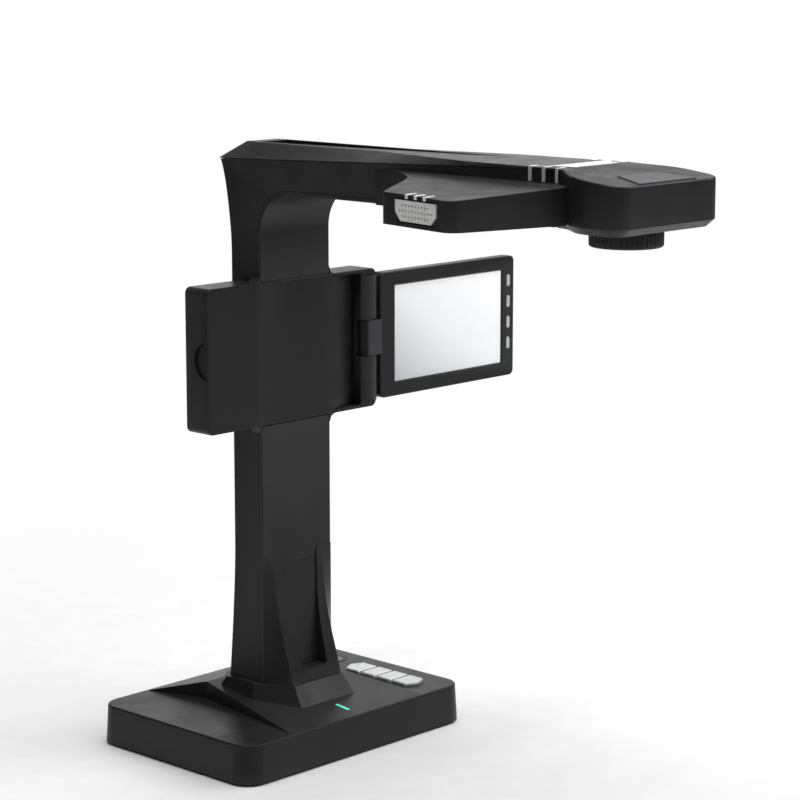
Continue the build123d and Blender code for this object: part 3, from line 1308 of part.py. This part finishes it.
with BuildPart() as right_wing_stripes:
    with BuildSketch(TIP_PLANE):
        with Locations((0, GRILLE_Z + GRILLE_HEIGHT / 2 + GRILLE_GAP + STRIPE_WRAP / 2)):
            with GridLocations(WING_STRIPE_PITCH, 1, 3, 1):
                Rectangle(STRIPE_WIDTH, STRIPE_WRAP)
    extrude(amount=STRIPE_WRAP, both=True)
    add(wing_block(-TRIM_RISE, WING_BOTTOM, -TRIM_RISE), mode=Mode.INTERSECT)
    add(wing_block(0, WING_BOTTOM, 0), mode=Mode.SUBTRACT)

with BuildPart() as right_arm_stripes:
    with BuildSketch(Plane.XY.offset(WING_TOP + TRIM_RISE)):
        with Locations((COLUMN_HALF, ARM_STRIPE_Y)):
            with GridLocations(1, ARM_STRIPE_PITCH, 1, 3):
                Rectangle(2 * STRIPE_WRAP, STRIPE_WIDTH)
    extrude(amount=2 * STRIPE_WRAP)
    add(head_block(-TRIM_RISE, ARM_BOTTOM, PAN_REAR), mode=Mode.INTERSECT)
    add(head_block(0, ARM_BOTTOM, PAN_REAR), mode=Mode.SUBTRACT)

for name, right_piece in (("wing_stripes", right_wing_stripes), ("arm_stripes", right_arm_stripes)):
    with BuildPart() as stripes:
        add(right_piece.part)
        mirror(about=Plane.YZ)
    stripes.part.label = name
    export_step(stripes.part, f"parts/{name}.step")

SIDES = (("left", True), ("right", False))
PAIRED = (
    ("wing", right_wing), ("wing_diffuser", right_diffuser), ("wing_lamp", right_lamp),
    ("wing_grille", right_grille),
)
for side, mirrored in SIDES:
    for name, right_piece in PAIRED:
        with BuildPart() as piece:
            add(mirror(right_piece.part, about=Plane.YZ, mode=Mode.PRIVATE) if mirrored else right_piece.part)
        piece.part.label = f"{name}_{side}"
        export_step(piece.part, f"parts/{name}_{side}.step")
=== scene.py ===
import json
import math
import bpy
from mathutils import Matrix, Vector


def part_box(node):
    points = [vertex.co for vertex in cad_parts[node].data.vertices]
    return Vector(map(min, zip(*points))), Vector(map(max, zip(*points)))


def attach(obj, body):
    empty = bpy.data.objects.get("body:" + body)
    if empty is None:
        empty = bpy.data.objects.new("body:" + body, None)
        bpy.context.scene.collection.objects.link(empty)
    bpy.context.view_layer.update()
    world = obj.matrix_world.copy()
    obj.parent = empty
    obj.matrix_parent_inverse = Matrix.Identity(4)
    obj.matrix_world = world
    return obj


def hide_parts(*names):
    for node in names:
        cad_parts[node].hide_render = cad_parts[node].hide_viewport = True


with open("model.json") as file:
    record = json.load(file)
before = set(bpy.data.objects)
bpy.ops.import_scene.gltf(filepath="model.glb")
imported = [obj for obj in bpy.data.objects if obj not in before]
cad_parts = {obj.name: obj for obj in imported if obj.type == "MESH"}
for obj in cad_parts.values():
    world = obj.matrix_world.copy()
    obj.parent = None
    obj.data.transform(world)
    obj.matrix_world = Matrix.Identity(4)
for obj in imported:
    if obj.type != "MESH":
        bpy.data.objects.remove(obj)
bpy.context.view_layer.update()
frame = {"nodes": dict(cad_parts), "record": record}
NODES = frame["nodes"]
MM = 0.001


# ---------------------------------------------------------------- node helpers
MIX_FIRST_COLOUR = 6
MIX_SECOND_COLOUR = 7
MIX_COLOUR_RESULT = 2


def new_material(name):
    """A node material and its Principled shader."""
    material = bpy.data.materials.new(name)
    material.use_nodes = True
    return material, material.node_tree.nodes["Principled BSDF"]


def add_node(material, kind, **values):
    """Adds a shader node; values set its properties, or its inputs where the name is an input's."""
    node = material.node_tree.nodes.new(kind)
    for key, value in values.items():
        if key in node.inputs:
            node.inputs[key].default_value = value
        else:
            setattr(node, key, value)
    return node


def join(material, output, socket):
    """Links an output to an input."""
    material.node_tree.links.new(output, socket)


def shade(colour, factor):
    """A colour made darker or lighter by a factor, kept at or below white."""
    return tuple(min(1.0, factor * channel) for channel in colour)


def object_coordinates(material, stretch=(1, 1, 1)):
    """Coordinates in metres in the object's own frame, stretched by a factor along each axis."""
    coordinates = add_node(material, "ShaderNodeTexCoord")
    mapping = add_node(material, "ShaderNodeMapping")
    mapping.inputs["Scale"].default_value = stretch
    join(material, coordinates.outputs["Object"], mapping.inputs["Vector"])
    return mapping.outputs["Vector"]


def noise(material, vector, scale, detail=3.0, roughness=0.55):
    """Noise over a vector; the scale is roughly in waves per metre."""
    node = add_node(material, "ShaderNodeTexNoise", Scale=scale, Detail=detail, Roughness=roughness)
    join(material, vector, node.inputs["Vector"])
    return node.outputs["Fac"]


def ramp(material, factor, stops):
    """Colour ramp over a factor; stops are (position, colour or grey)."""
    node = add_node(material, "ShaderNodeValToRGB")
    elements = node.color_ramp.elements
    while len(elements) < len(stops):
        elements.new(0.5)
    for element, (position, colour) in zip(elements, stops):
        element.position = position
        element.color = (colour,) * 3 + (1,) if isinstance(colour, float) else tuple(colour) + (1,)
    join(material, factor, node.inputs["Fac"])
    return node.outputs["Color"]


def mix(material, factor, first, second, blend="MIX"):
    """Mixes two colour outputs by a factor, which is a number or an output."""
    node = add_node(material, "ShaderNodeMix", data_type="RGBA", blend_type=blend)
    if isinstance(factor, float):
        node.inputs["Factor"].default_value = factor
    else:
        join(material, factor, node.inputs["Factor"])
    join(material, first, node.inputs[MIX_FIRST_COLOUR])
    join(material, second, node.inputs[MIX_SECOND_COLOUR])
    return node.outputs[MIX_COLOUR_RESULT]


def bump(material, shader, heights):
    """Chains bumps of (height output, strength, depth in metres) into the shader's normal."""
    normal = None
    for height, strength, depth in heights:
        node = add_node(material, "ShaderNodeBump", Strength=strength, Distance=depth)
        join(material, height, node.inputs["Height"])
        if normal:
            join(material, normal, node.inputs["Normal"])
        normal = node.outputs["Normal"]
    join(material, normal, shader.inputs["Normal"])


def edge_wear(material, low=0.52, high=0.6):
    """Factor that rises on sharp outer edges."""
    geometry = add_node(material, "ShaderNodeNewGeometry")
    return ramp(material, geometry.outputs["Pointiness"], ((low, 0.0), (high, 1.0)))


# ---------------------------------------------------------------- materials
def moulded_plastic(name, dark, light, roughness, grain=2600.0, grain_depth=0.00006, gloss=0.2):
    """Injection-moulded plastic: fine grain, soft blotches in colour and sheen, paler edges."""
    material, shader = new_material(name)
    vector = object_coordinates(material)
    blotch = noise(material, vector, scale=22.0, detail=4.0)
    fine = noise(material, vector, scale=grain, detail=2.0, roughness=0.7)
    handling = noise(material, vector, scale=65.0, detail=5.0)
    base = ramp(material, blotch, ((0.3, dark), (0.7, light)))
    worn = ramp(material, fine, ((0.0, shade(light, 2.1)), (1.0, shade(light, 2.6))))
    wear = mix(material, 0.55, edge_wear(material), handling, "MULTIPLY")
    join(material, mix(material, wear, base, worn), shader.inputs["Base Color"])
    sheen = ramp(material, handling, ((0.25, roughness - 0.06), (0.75, roughness + 0.07)))
    join(material, sheen, shader.inputs["Roughness"])
    shader.inputs["Specular IOR Level"].default_value = gloss
    bump(material, shader, ((fine, 0.35, grain_depth), (blotch, 0.12, 0.0002)))
    return material


def brushed_metal(name, colour, roughness, stretch=(1, 1, 40), metallic=1.0):
    """Metal brushed across the stretched axis, with a faint cloudy tone."""
    material, shader = new_material(name)
    strokes = noise(material, object_coordinates(material, stretch), scale=260.0, detail=4.0, roughness=0.65)
    cloud = noise(material, object_coordinates(material), scale=35.0)
    dull = ramp(material, strokes, ((0.2, shade(colour, 0.82)), (0.8, colour)))
    bright = ramp(material, strokes, ((0.2, colour), (0.8, shade(colour, 1.08))))
    join(material, mix(material, cloud, dull, bright), shader.inputs["Base Color"])
    sheen = ramp(material, strokes, ((0.2, roughness - 0.05), (0.8, roughness + 0.08)))
    join(material, sheen, shader.inputs["Roughness"])
    shader.inputs["Metallic"].default_value = metallic
    bump(material, shader, ((strokes, 0.15, 0.00003),))
    return material


def rubber(name):
    """Dull rubber with a coarse skin and dusty patches."""
    material, shader = new_material(name)
    vector = object_coordinates(material)
    dust = noise(material, vector, scale=140.0, detail=5.0)
    skin = noise(material, vector, scale=1500.0)
    join(material, ramp(material, dust, ((0.35, 0.012), (0.75, 0.045))), shader.inputs["Base Color"])
    join(material, ramp(material, dust, ((0.3, 0.75), (0.7, 0.92))), shader.inputs["Roughness"])
    bump(material, shader, ((skin, 0.5, 0.0001),))
    return material


def circuit_board(name):
    """Solder mask over a net of tracks, with gilt pads."""
    material, shader = new_material(name)
    vector = object_coordinates(material)
    tracks = add_node(material, "ShaderNodeTexVoronoi", feature="DISTANCE_TO_EDGE", Scale=420.0)
    pads = add_node(material, "ShaderNodeTexVoronoi", feature="F1", Scale=300.0)
    for cells in (tracks, pads):
        join(material, vector, cells.inputs["Vector"])
    distance = tracks.outputs["Distance"]
    mask = ramp(material, distance, ((0.04, (0.02, 0.16, 0.07)), (0.1, (0.01, 0.08, 0.04))))
    gilt = ramp(material, distance, ((0.0, (0.75, 0.55, 0.2)), (1.0, (0.85, 0.65, 0.3))))
    spots = ramp(material, pads.outputs["Distance"], ((0.12, 1.0), (0.16, 0.0)))
    join(material, mix(material, spots, mask, gilt), shader.inputs["Base Color"])
    join(material, spots, shader.inputs["Metallic"])
    join(material, ramp(material, distance, ((0.0, 0.25), (0.2, 0.45))), shader.inputs["Roughness"])
    bump(material, shader, ((distance, 0.3, 0.00008),))
    return material


def silver_paint(name, colour, metallic=0.1):
    """Silver lacquer: fine metal flake under a thin clear coat, with patches rubbed duller."""
    material, shader = new_material(name)
    vector = object_coordinates(material)
    flake = noise(material, vector, scale=5200.0, detail=1.0, roughness=0.8)
    rubbed = noise(material, vector, scale=190.0, detail=4.0)
    join(material, ramp(material, flake, ((0.2, shade(colour, 0.86)), (0.8, colour))),
         shader.inputs["Base Color"])
    join(material, ramp(material, rubbed, ((0.3, 0.26), (0.7, 0.4))), shader.inputs["Roughness"])
    shader.inputs["Metallic"].default_value = metallic
    shader.inputs["Coat Weight"].default_value = 0.4
    shader.inputs["Coat Roughness"].default_value = 0.12
    bump(material, shader, ((flake, 0.2, 0.00002), (rubbed, 0.1, 0.00005)))
    return material


def lit_plastic(name, colour, glow, strength):
    """Translucent plastic that is lit from behind, a little uneven."""
    material, shader = new_material(name)
    cloud = noise(material, object_coordinates(material), scale=260.0)
    join(material, ramp(material, cloud, ((0.2, shade(colour, 0.8)), (0.8, colour))),
         shader.inputs["Base Color"])
    join(material, ramp(material, cloud, ((0.3, shade(glow, 0.85)), (0.7, glow))),
         shader.inputs["Emission Color"])
    join(material, ramp(material, cloud, ((0.2, 0.2), (0.8, 0.34))), shader.inputs["Roughness"])
    shader.inputs["Emission Strength"].default_value = strength
    bump(material, shader, ((cloud, 0.15, 0.00005),))
    return material


DISPLAY_GLOW = 0.2
DISPLAY_RISE_ACROSS = 4.2
DISPLAY_RISE_UPWARD = 6.5
DISPLAY_TONES = ((0.0, (0.42, 0.43, 0.45)), (0.42, (0.80, 0.81, 0.83)), (0.8, (0.95, 0.95, 0.96)))


def display(name):
    """Lit display: a pale blue-grey ground with a soft slanting gradient and a faint grain of cells."""
    material, shader = new_material(name)
    low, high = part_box("screen_panel")
    coordinates = add_node(material, "ShaderNodeTexCoord")
    mapping = add_node(material, "ShaderNodeMapping")
    mapping.inputs["Location"].default_value = -low
    join(material, coordinates.outputs["Object"], mapping.inputs["Vector"])
    vector = mapping.outputs["Vector"]
    spread = add_node(material, "ShaderNodeSeparateXYZ")
    join(material, vector, spread.inputs["Vector"])
    upward = add_node(material, "ShaderNodeMath", operation="MULTIPLY")
    upward.inputs[1].default_value = DISPLAY_RISE_UPWARD
    join(material, spread.outputs["Z"], upward.inputs[0])
    slant = add_node(material, "ShaderNodeMath", operation="MULTIPLY_ADD")
    slant.inputs[1].default_value = DISPLAY_RISE_ACROSS
    join(material, spread.outputs["X"], slant.inputs[0])
    join(material, upward.outputs[0], slant.inputs[2])
    ground = ramp(material, slant.outputs[0], DISPLAY_TONES)
    grid = add_node(material, "ShaderNodeTexVoronoi", feature="F1", Scale=4200.0)
    join(material, vector, grid.inputs["Vector"])
    cells = ramp(material, grid.outputs["Distance"], ((0.0, 1.0), (1.0, 0.94)))
    face = mix(material, 1.0, ground, cells, "MULTIPLY")
    join(material, face, shader.inputs["Base Color"])
    join(material, face, shader.inputs["Emission Color"])
    smear = noise(material, vector, scale=60.0, detail=4.0)
    join(material, ramp(material, smear, ((0.3, 0.09), (0.7, 0.2))), shader.inputs["Roughness"])
    shader.inputs["Emission Strength"].default_value = DISPLAY_GLOW
    return material


def clear_glass(name, tint, roughness=0.03):
    """Coated lens glass with a coloured bloom and faint dust."""
    material, shader = new_material(name)
    dust = noise(material, object_coordinates(material), scale=900.0, detail=6.0, roughness=0.8)
    join(material, ramp(material, dust, ((0.3, tint), (0.8, shade(tint, 1.2)))), shader.inputs["Base Color"])
    join(material, ramp(material, dust, ((0.5, roughness), (0.9, roughness + 0.1))),
         shader.inputs["Roughness"])
    shader.inputs["Transmission Weight"].default_value = 0.85
    shader.inputs["IOR"].default_value = 1.6
    shader.inputs["Coat Weight"].default_value = 1.0
    shader.inputs["Coat Tint"].default_value = (0.55, 0.5, 0.95, 1)
    return material


BLACK = (0.0105, 0.0105, 0.0112)
BLACK_LIGHT = (0.0150, 0.0150, 0.0158)
MATERIALS = {
    "black_plastic": moulded_plastic("black_plastic", BLACK, BLACK_LIGHT, 0.40),
    "base_plastic": moulded_plastic("base_plastic", (0.009, 0.009, 0.0095), (0.013, 0.013, 0.0138), 0.55),
    "rubber": rubber("rubber"),
    "steel": brushed_metal("steel", (0.52, 0.53, 0.55), 0.34),
    "aluminium": brushed_metal("aluminium", (0.72, 0.72, 0.74), 0.3, (1, 40, 1)),
    "circuit_board": circuit_board("circuit_board"),
    "silver_key": silver_paint("silver_key", (0.55, 0.56, 0.57)),
    "power_key": moulded_plastic("power_key", (0.05, 0.05, 0.052), (0.066, 0.066, 0.07), 0.36),
    "green_light": lit_plastic("green_light", (0.03, 0.42, 0.30), (0.03, 0.62, 0.40), 1.0),
    "socket_metal": brushed_metal("socket_metal", (0.68, 0.68, 0.7), 0.28, (1, 30, 1)),
    "socket_plastic": moulded_plastic("socket_plastic", (0.012, 0.012, 0.012), (0.02, 0.02, 0.02), 0.5),
    "hinge_plastic": moulded_plastic("hinge_plastic", (0.016, 0.016, 0.017), (0.022, 0.022, 0.0235), 0.4),
    "display": display("display"),
    "silver_trim": silver_paint("silver_trim", (0.88, 0.89, 0.87)),
    "inlay": moulded_plastic("inlay", (0.035, 0.035, 0.037), (0.05, 0.05, 0.053), 0.5, 4200.0, 0.00003),
    "lens_metal": brushed_metal("lens_metal", (0.06, 0.06, 0.065), 0.4),
    "ring_plastic": moulded_plastic("ring_plastic", (0.022, 0.022, 0.023), (0.03, 0.03, 0.032), 0.5),
    "lens_glass": clear_glass("lens_glass", (0.5, 0.52, 0.7)),
    "diffuser": lit_plastic("diffuser", (0.85, 0.85, 0.84), (1.0, 0.97, 0.93), 0.35),
}

SLOT_OF_NODE = {row["node"]: row["material_slot"] for row in frame["record"]["subparts"]}
for node_name, node in NODES.items():
    for material_slot in node.material_slots:
        material_slot.material = MATERIALS[SLOT_OF_NODE[node_name]]


# ---------------------------------------------------------------- piece helpers
def finish_piece(name, mesh, slot_name, body, smooth_angle):
    """Puts a mesh in the scene as a piece with its material, riding on a body."""
    mesh.materials.append(MATERIALS[slot_name])
    piece = bpy.data.objects.new(name, mesh)
    bpy.context.scene.collection.objects.link(piece)
    mesh.polygons.foreach_set("use_smooth", [True] * len(mesh.polygons))
    mesh.set_sharp_from_angle(angle=math.radians(smooth_angle))
    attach(piece, body)
    return piece


def mesh_from(name, vertices, faces):
    """A checked mesh from its vertices and faces."""
    mesh = bpy.data.meshes.new(name)
    mesh.from_pydata([tuple(v) for v in vertices], [], faces)
    mesh.validate()
    mesh.update()
    return mesh


def lathe(name, centre, profile, steps, closed, ripple=None):
    """Turns a profile of (radius, height) about a vertical axis.

    A closed profile makes a ring, and an open one is capped at both ends. ripple(angle, radius) changes
    the radius.
    """
    vertices = []
    for step in range(steps):
        angle = 2 * math.pi * step / steps
        for radius, height in profile:
            r = ripple(angle, radius) if ripple else radius
            vertices.append((centre[0] + r * math.cos(angle), centre[1] + r * math.sin(angle), height))
    count = len(profile)
    faces = []
    spans = count if closed else count - 1
    for step in range(steps):
        following = (step + 1) % steps
        for row in range(spans):
            upper = (row + 1) % count
            faces.append((step * count + row, following * count + row,
                          following * count + upper, step * count + upper))
    if not closed:
        faces.append(tuple(step * count for step in reversed(range(steps))))
        faces.append(tuple(step * count + count - 1 for step in range(steps)))
    return mesh_from(name, vertices, faces)


# ---------------------------------------------------------------- camera head details
RING_LOW, RING_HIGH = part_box("lens_ring")
LENS_CENTRE = ((RING_LOW.x + RING_HIGH.x) / 2, (RING_LOW.y + RING_HIGH.y) / 2)
RING_RADIUS = (RING_HIGH.x - RING_LOW.x) / 2
RING_BORE = 14.1 * MM
BAND_INSET = 0.8 * MM
BAND_EDGE_INSET = 1.2 * MM
BAND_EDGE_DROP = 0.3 * MM
BAND_BOTTOM = 1.0 * MM
RIBS = 46
RIB_STEPS = 8
RIB_DEPTH = 0.8 * MM
RIB_TOP = 1.4 * MM
RIB_ROWS = 6
RIB_ROW_PITCH = 0.8 * MM
RIB_SOFTNESS = 0.5
RIB_CLEARANCE = 0.05 * MM
LIP_ROUND = 1.6 * MM
LIP_STEPS = 6
LIP_FLAT_INSET = 4.0 * MM
LIP_BEVEL_INSET = 4.6 * MM
LIP_BEVEL_RISE = 0.6 * MM
BORE_RISE = 0.9 * MM
LENS_DOME = 1.0 * MM
LENS_POLE = 0.02 * MM
LENS_STEPS = 96
DOME_STEP_DEGREES = 9


def focus_ring():
    """Knurled ring: fine upright ribs between a plain top band and a rounded lower lip."""
    outer = RING_RADIUS
    low, high = RING_LOW.z, RING_HIGH.z
    profile = [(RING_BORE, high), (outer - BAND_EDGE_INSET, high),
               (outer - BAND_INSET, high - BAND_EDGE_DROP), (outer - BAND_INSET, high - BAND_BOTTOM),
               (outer, high - RIB_TOP)]
    profile += [(outer, high - RIB_TOP - row * RIB_ROW_PITCH) for row in range(1, RIB_ROWS + 1)]
    for step in range(1, LIP_STEPS + 1):
        turn = math.radians(90 / LIP_STEPS * step)
        profile.append((outer - LIP_ROUND * (1 - math.cos(turn)), low + LIP_ROUND * (1 - math.sin(turn))))
    profile += [(outer - LIP_FLAT_INSET, low), (outer - LIP_BEVEL_INSET, low + LIP_BEVEL_RISE),
                (RING_BORE, low + BORE_RISE)]

    def ripple(angle, radius):
        """Cuts the grooves into the ribbed part and leaves the rest round."""
        if radius < outer - RIB_CLEARANCE:
            return radius
        return radius - RIB_DEPTH * max(0.0, math.cos(RIBS * angle)) ** RIB_SOFTNESS

    mesh = lathe("focus_ring_knurled", LENS_CENTRE, profile, RIBS * RIB_STEPS, True, ripple)
    piece = finish_piece("focus_ring_knurled", mesh, "ring_plastic", "focus_ring", 40)
    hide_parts("lens_ring")


def front_lens():
    """Front element: a shallow dome below a straight rim, over the barrel's bore."""
    low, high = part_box("lens_glass")
    radius = (high.x - low.x) / 2
    turns = [math.radians(degrees) for degrees in range(0, 90, DOME_STEP_DEGREES)]
    dome = [(radius * math.cos(turn), low.z + LENS_DOME - LENS_DOME * math.sin(turn)) for turn in turns]
    profile = [(LENS_POLE, high.z), (radius, high.z)] + dome + [(LENS_POLE, low.z)]
    mesh = lathe("front_lens", LENS_CENTRE, profile, LENS_STEPS, False)
    piece = finish_piece("front_lens", mesh, "lens_glass", "stand", 50)
    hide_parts("lens_glass")


focus_ring()
front_lens()


# ---------------------------------------------------------------- camera, light and floor
CAMERA_PLACE = Vector((-1.1399, -1.1852, 0.5209))
CAMERA_AZIMUTH = math.radians(-46.58)
CAMERA_ELEVATION = math.radians(10.24)
CAMERA_LENS = 115.16
CAMERA_SENSOR = 36.0
CAMERA_CLIP = (0.05, 50.0)
AMBIENT = 0.06
FLOOR_HALF = 12.0
FLOOR_TONES = ((0.3, 0.86), (0.7, 0.9))
FLOOR_NEAR = 0.15
FLOOR_FAR = 0.75
# name, place, target and size in metres, power in watts
LIGHTS = (
    ("overhead", (0.1, -0.1, 1.9), (0, -0.1, 0.2), (1.6, 1.6), 34),
    ("high_front", (0.4, -1.9, 1.6), (0, -0.1, 0.25), (1.0, 0.7), 9),
    ("high_left", (-1.9, -0.7, 1.5), (0, -0.1, 0.25), (0.7, 0.7), 3),
    ("right_high", (1.3, -0.9, 1.25), (0, -0.1, 0.2), (1.0, 0.7), 13),
    ("back_panel", (1.7, 1.7, 0.75), (0, 0, 0.3), (2.8, 1.3), 15),
)


def camera():
    """The photograph's viewpoint: a long lens, from the front left and a little above."""
    data = bpy.data.cameras.new("camera")
    data.lens = CAMERA_LENS
    data.sensor_width = CAMERA_SENSOR
    data.clip_start, data.clip_end = CAMERA_CLIP
    body = bpy.data.objects.new("camera", data)
    bpy.context.scene.collection.objects.link(body)
    back = Vector((math.sin(CAMERA_AZIMUTH) * math.cos(CAMERA_ELEVATION),
                   -math.cos(CAMERA_AZIMUTH) * math.cos(CAMERA_ELEVATION), math.sin(CAMERA_ELEVATION)))
    body.location = CAMERA_PLACE
    body.rotation_mode = "QUATERNION"
    body.rotation_quaternion = (-back).to_track_quat("-Z", "Y")
    bpy.context.scene.camera = body


def area_light(name, place, target, size, power):
    """A white rectangular light at a place, facing its target."""
    data = bpy.data.lights.new(name, "AREA")
    data.shape = "RECTANGLE"
    data.size, data.size_y = size
    data.energy = power
    lamp = bpy.data.objects.new(name, data)
    bpy.context.scene.collection.objects.link(lamp)
    lamp.location = place
    lamp.rotation_mode = "QUATERNION"
    lamp.rotation_quaternion = (Vector(target) - Vector(place)).to_track_quat("-Z", "Y")


def sky():
    """A sky that looks white to the camera but lights the object only by AMBIENT."""
    world = bpy.data.worlds.new("studio")
    bpy.context.scene.world = world
    world.use_nodes = True
    tree = world.node_tree
    dim = tree.nodes["Background"]
    dim.inputs["Color"].default_value = (1, 1, 1, 1)
    dim.inputs["Strength"].default_value = AMBIENT
    backdrop = tree.nodes.new("ShaderNodeBackground")
    backdrop.inputs["Color"].default_value = (1, 1, 1, 1)
    sight = tree.nodes.new("ShaderNodeLightPath")
    choice = tree.nodes.new("ShaderNodeMixShader")
    tree.links.new(sight.outputs["Is Camera Ray"], choice.inputs[0])
    tree.links.new(dim.outputs[0], choice.inputs[1])
    tree.links.new(backdrop.outputs[0], choice.inputs[2])
    tree.links.new(choice.outputs[0], tree.nodes["World Output"].inputs["Surface"])


def floor_paint():
    """Matt off-white that fades to plain white away from the object, as the camera sees it."""
    material, shader = new_material("floor")
    vector = object_coordinates(material)
    grain = noise(material, vector, scale=40.0, detail=4.0)
    join(material, ramp(material, grain, FLOOR_TONES), shader.inputs["Base Color"])
    shader.inputs["Roughness"].default_value = 0.9
    shader.inputs["Specular IOR Level"].default_value = 0.1
    reach = add_node(material, "ShaderNodeVectorMath", operation="LENGTH")
    join(material, vector, reach.inputs[0])
    far = ramp(material, reach.outputs["Value"], ((FLOOR_NEAR, 0.0), (FLOOR_FAR, 1.0)))
    white = add_node(material, "ShaderNodeEmission", Strength=1.0)
    sight = add_node(material, "ShaderNodeLightPath")
    shown = add_node(material, "ShaderNodeMath", operation="MULTIPLY")
    join(material, far, shown.inputs[0])
    join(material, sight.outputs["Is Camera Ray"], shown.inputs[1])
    fade = add_node(material, "ShaderNodeMixShader")
    join(material, shown.outputs[0], fade.inputs[0])
    join(material, shader.outputs[0], fade.inputs[1])
    join(material, white.outputs[0], fade.inputs[2])
    join(material, fade.outputs[0], material.node_tree.nodes["Material Output"].inputs["Surface"])
    return material


def studio():
    """The sky, a wide flat floor and the lights."""
    sky()
    corners = [(-FLOOR_HALF, -FLOOR_HALF, 0), (FLOOR_HALF, -FLOOR_HALF, 0),
               (FLOOR_HALF, FLOOR_HALF, 0), (-FLOOR_HALF, FLOOR_HALF, 0)]
    floor_mesh = mesh_from("floor", corners, [(0, 1, 2, 3)])
    floor_mesh.materials.append(floor_paint())
    floor = bpy.data.objects.new("floor", floor_mesh)
    bpy.context.scene.collection.objects.link(floor)
    for light in LIGHTS:
        area_light(*light)


camera()
studio()
bpy.context.scene.view_settings.view_transform = "Standard"
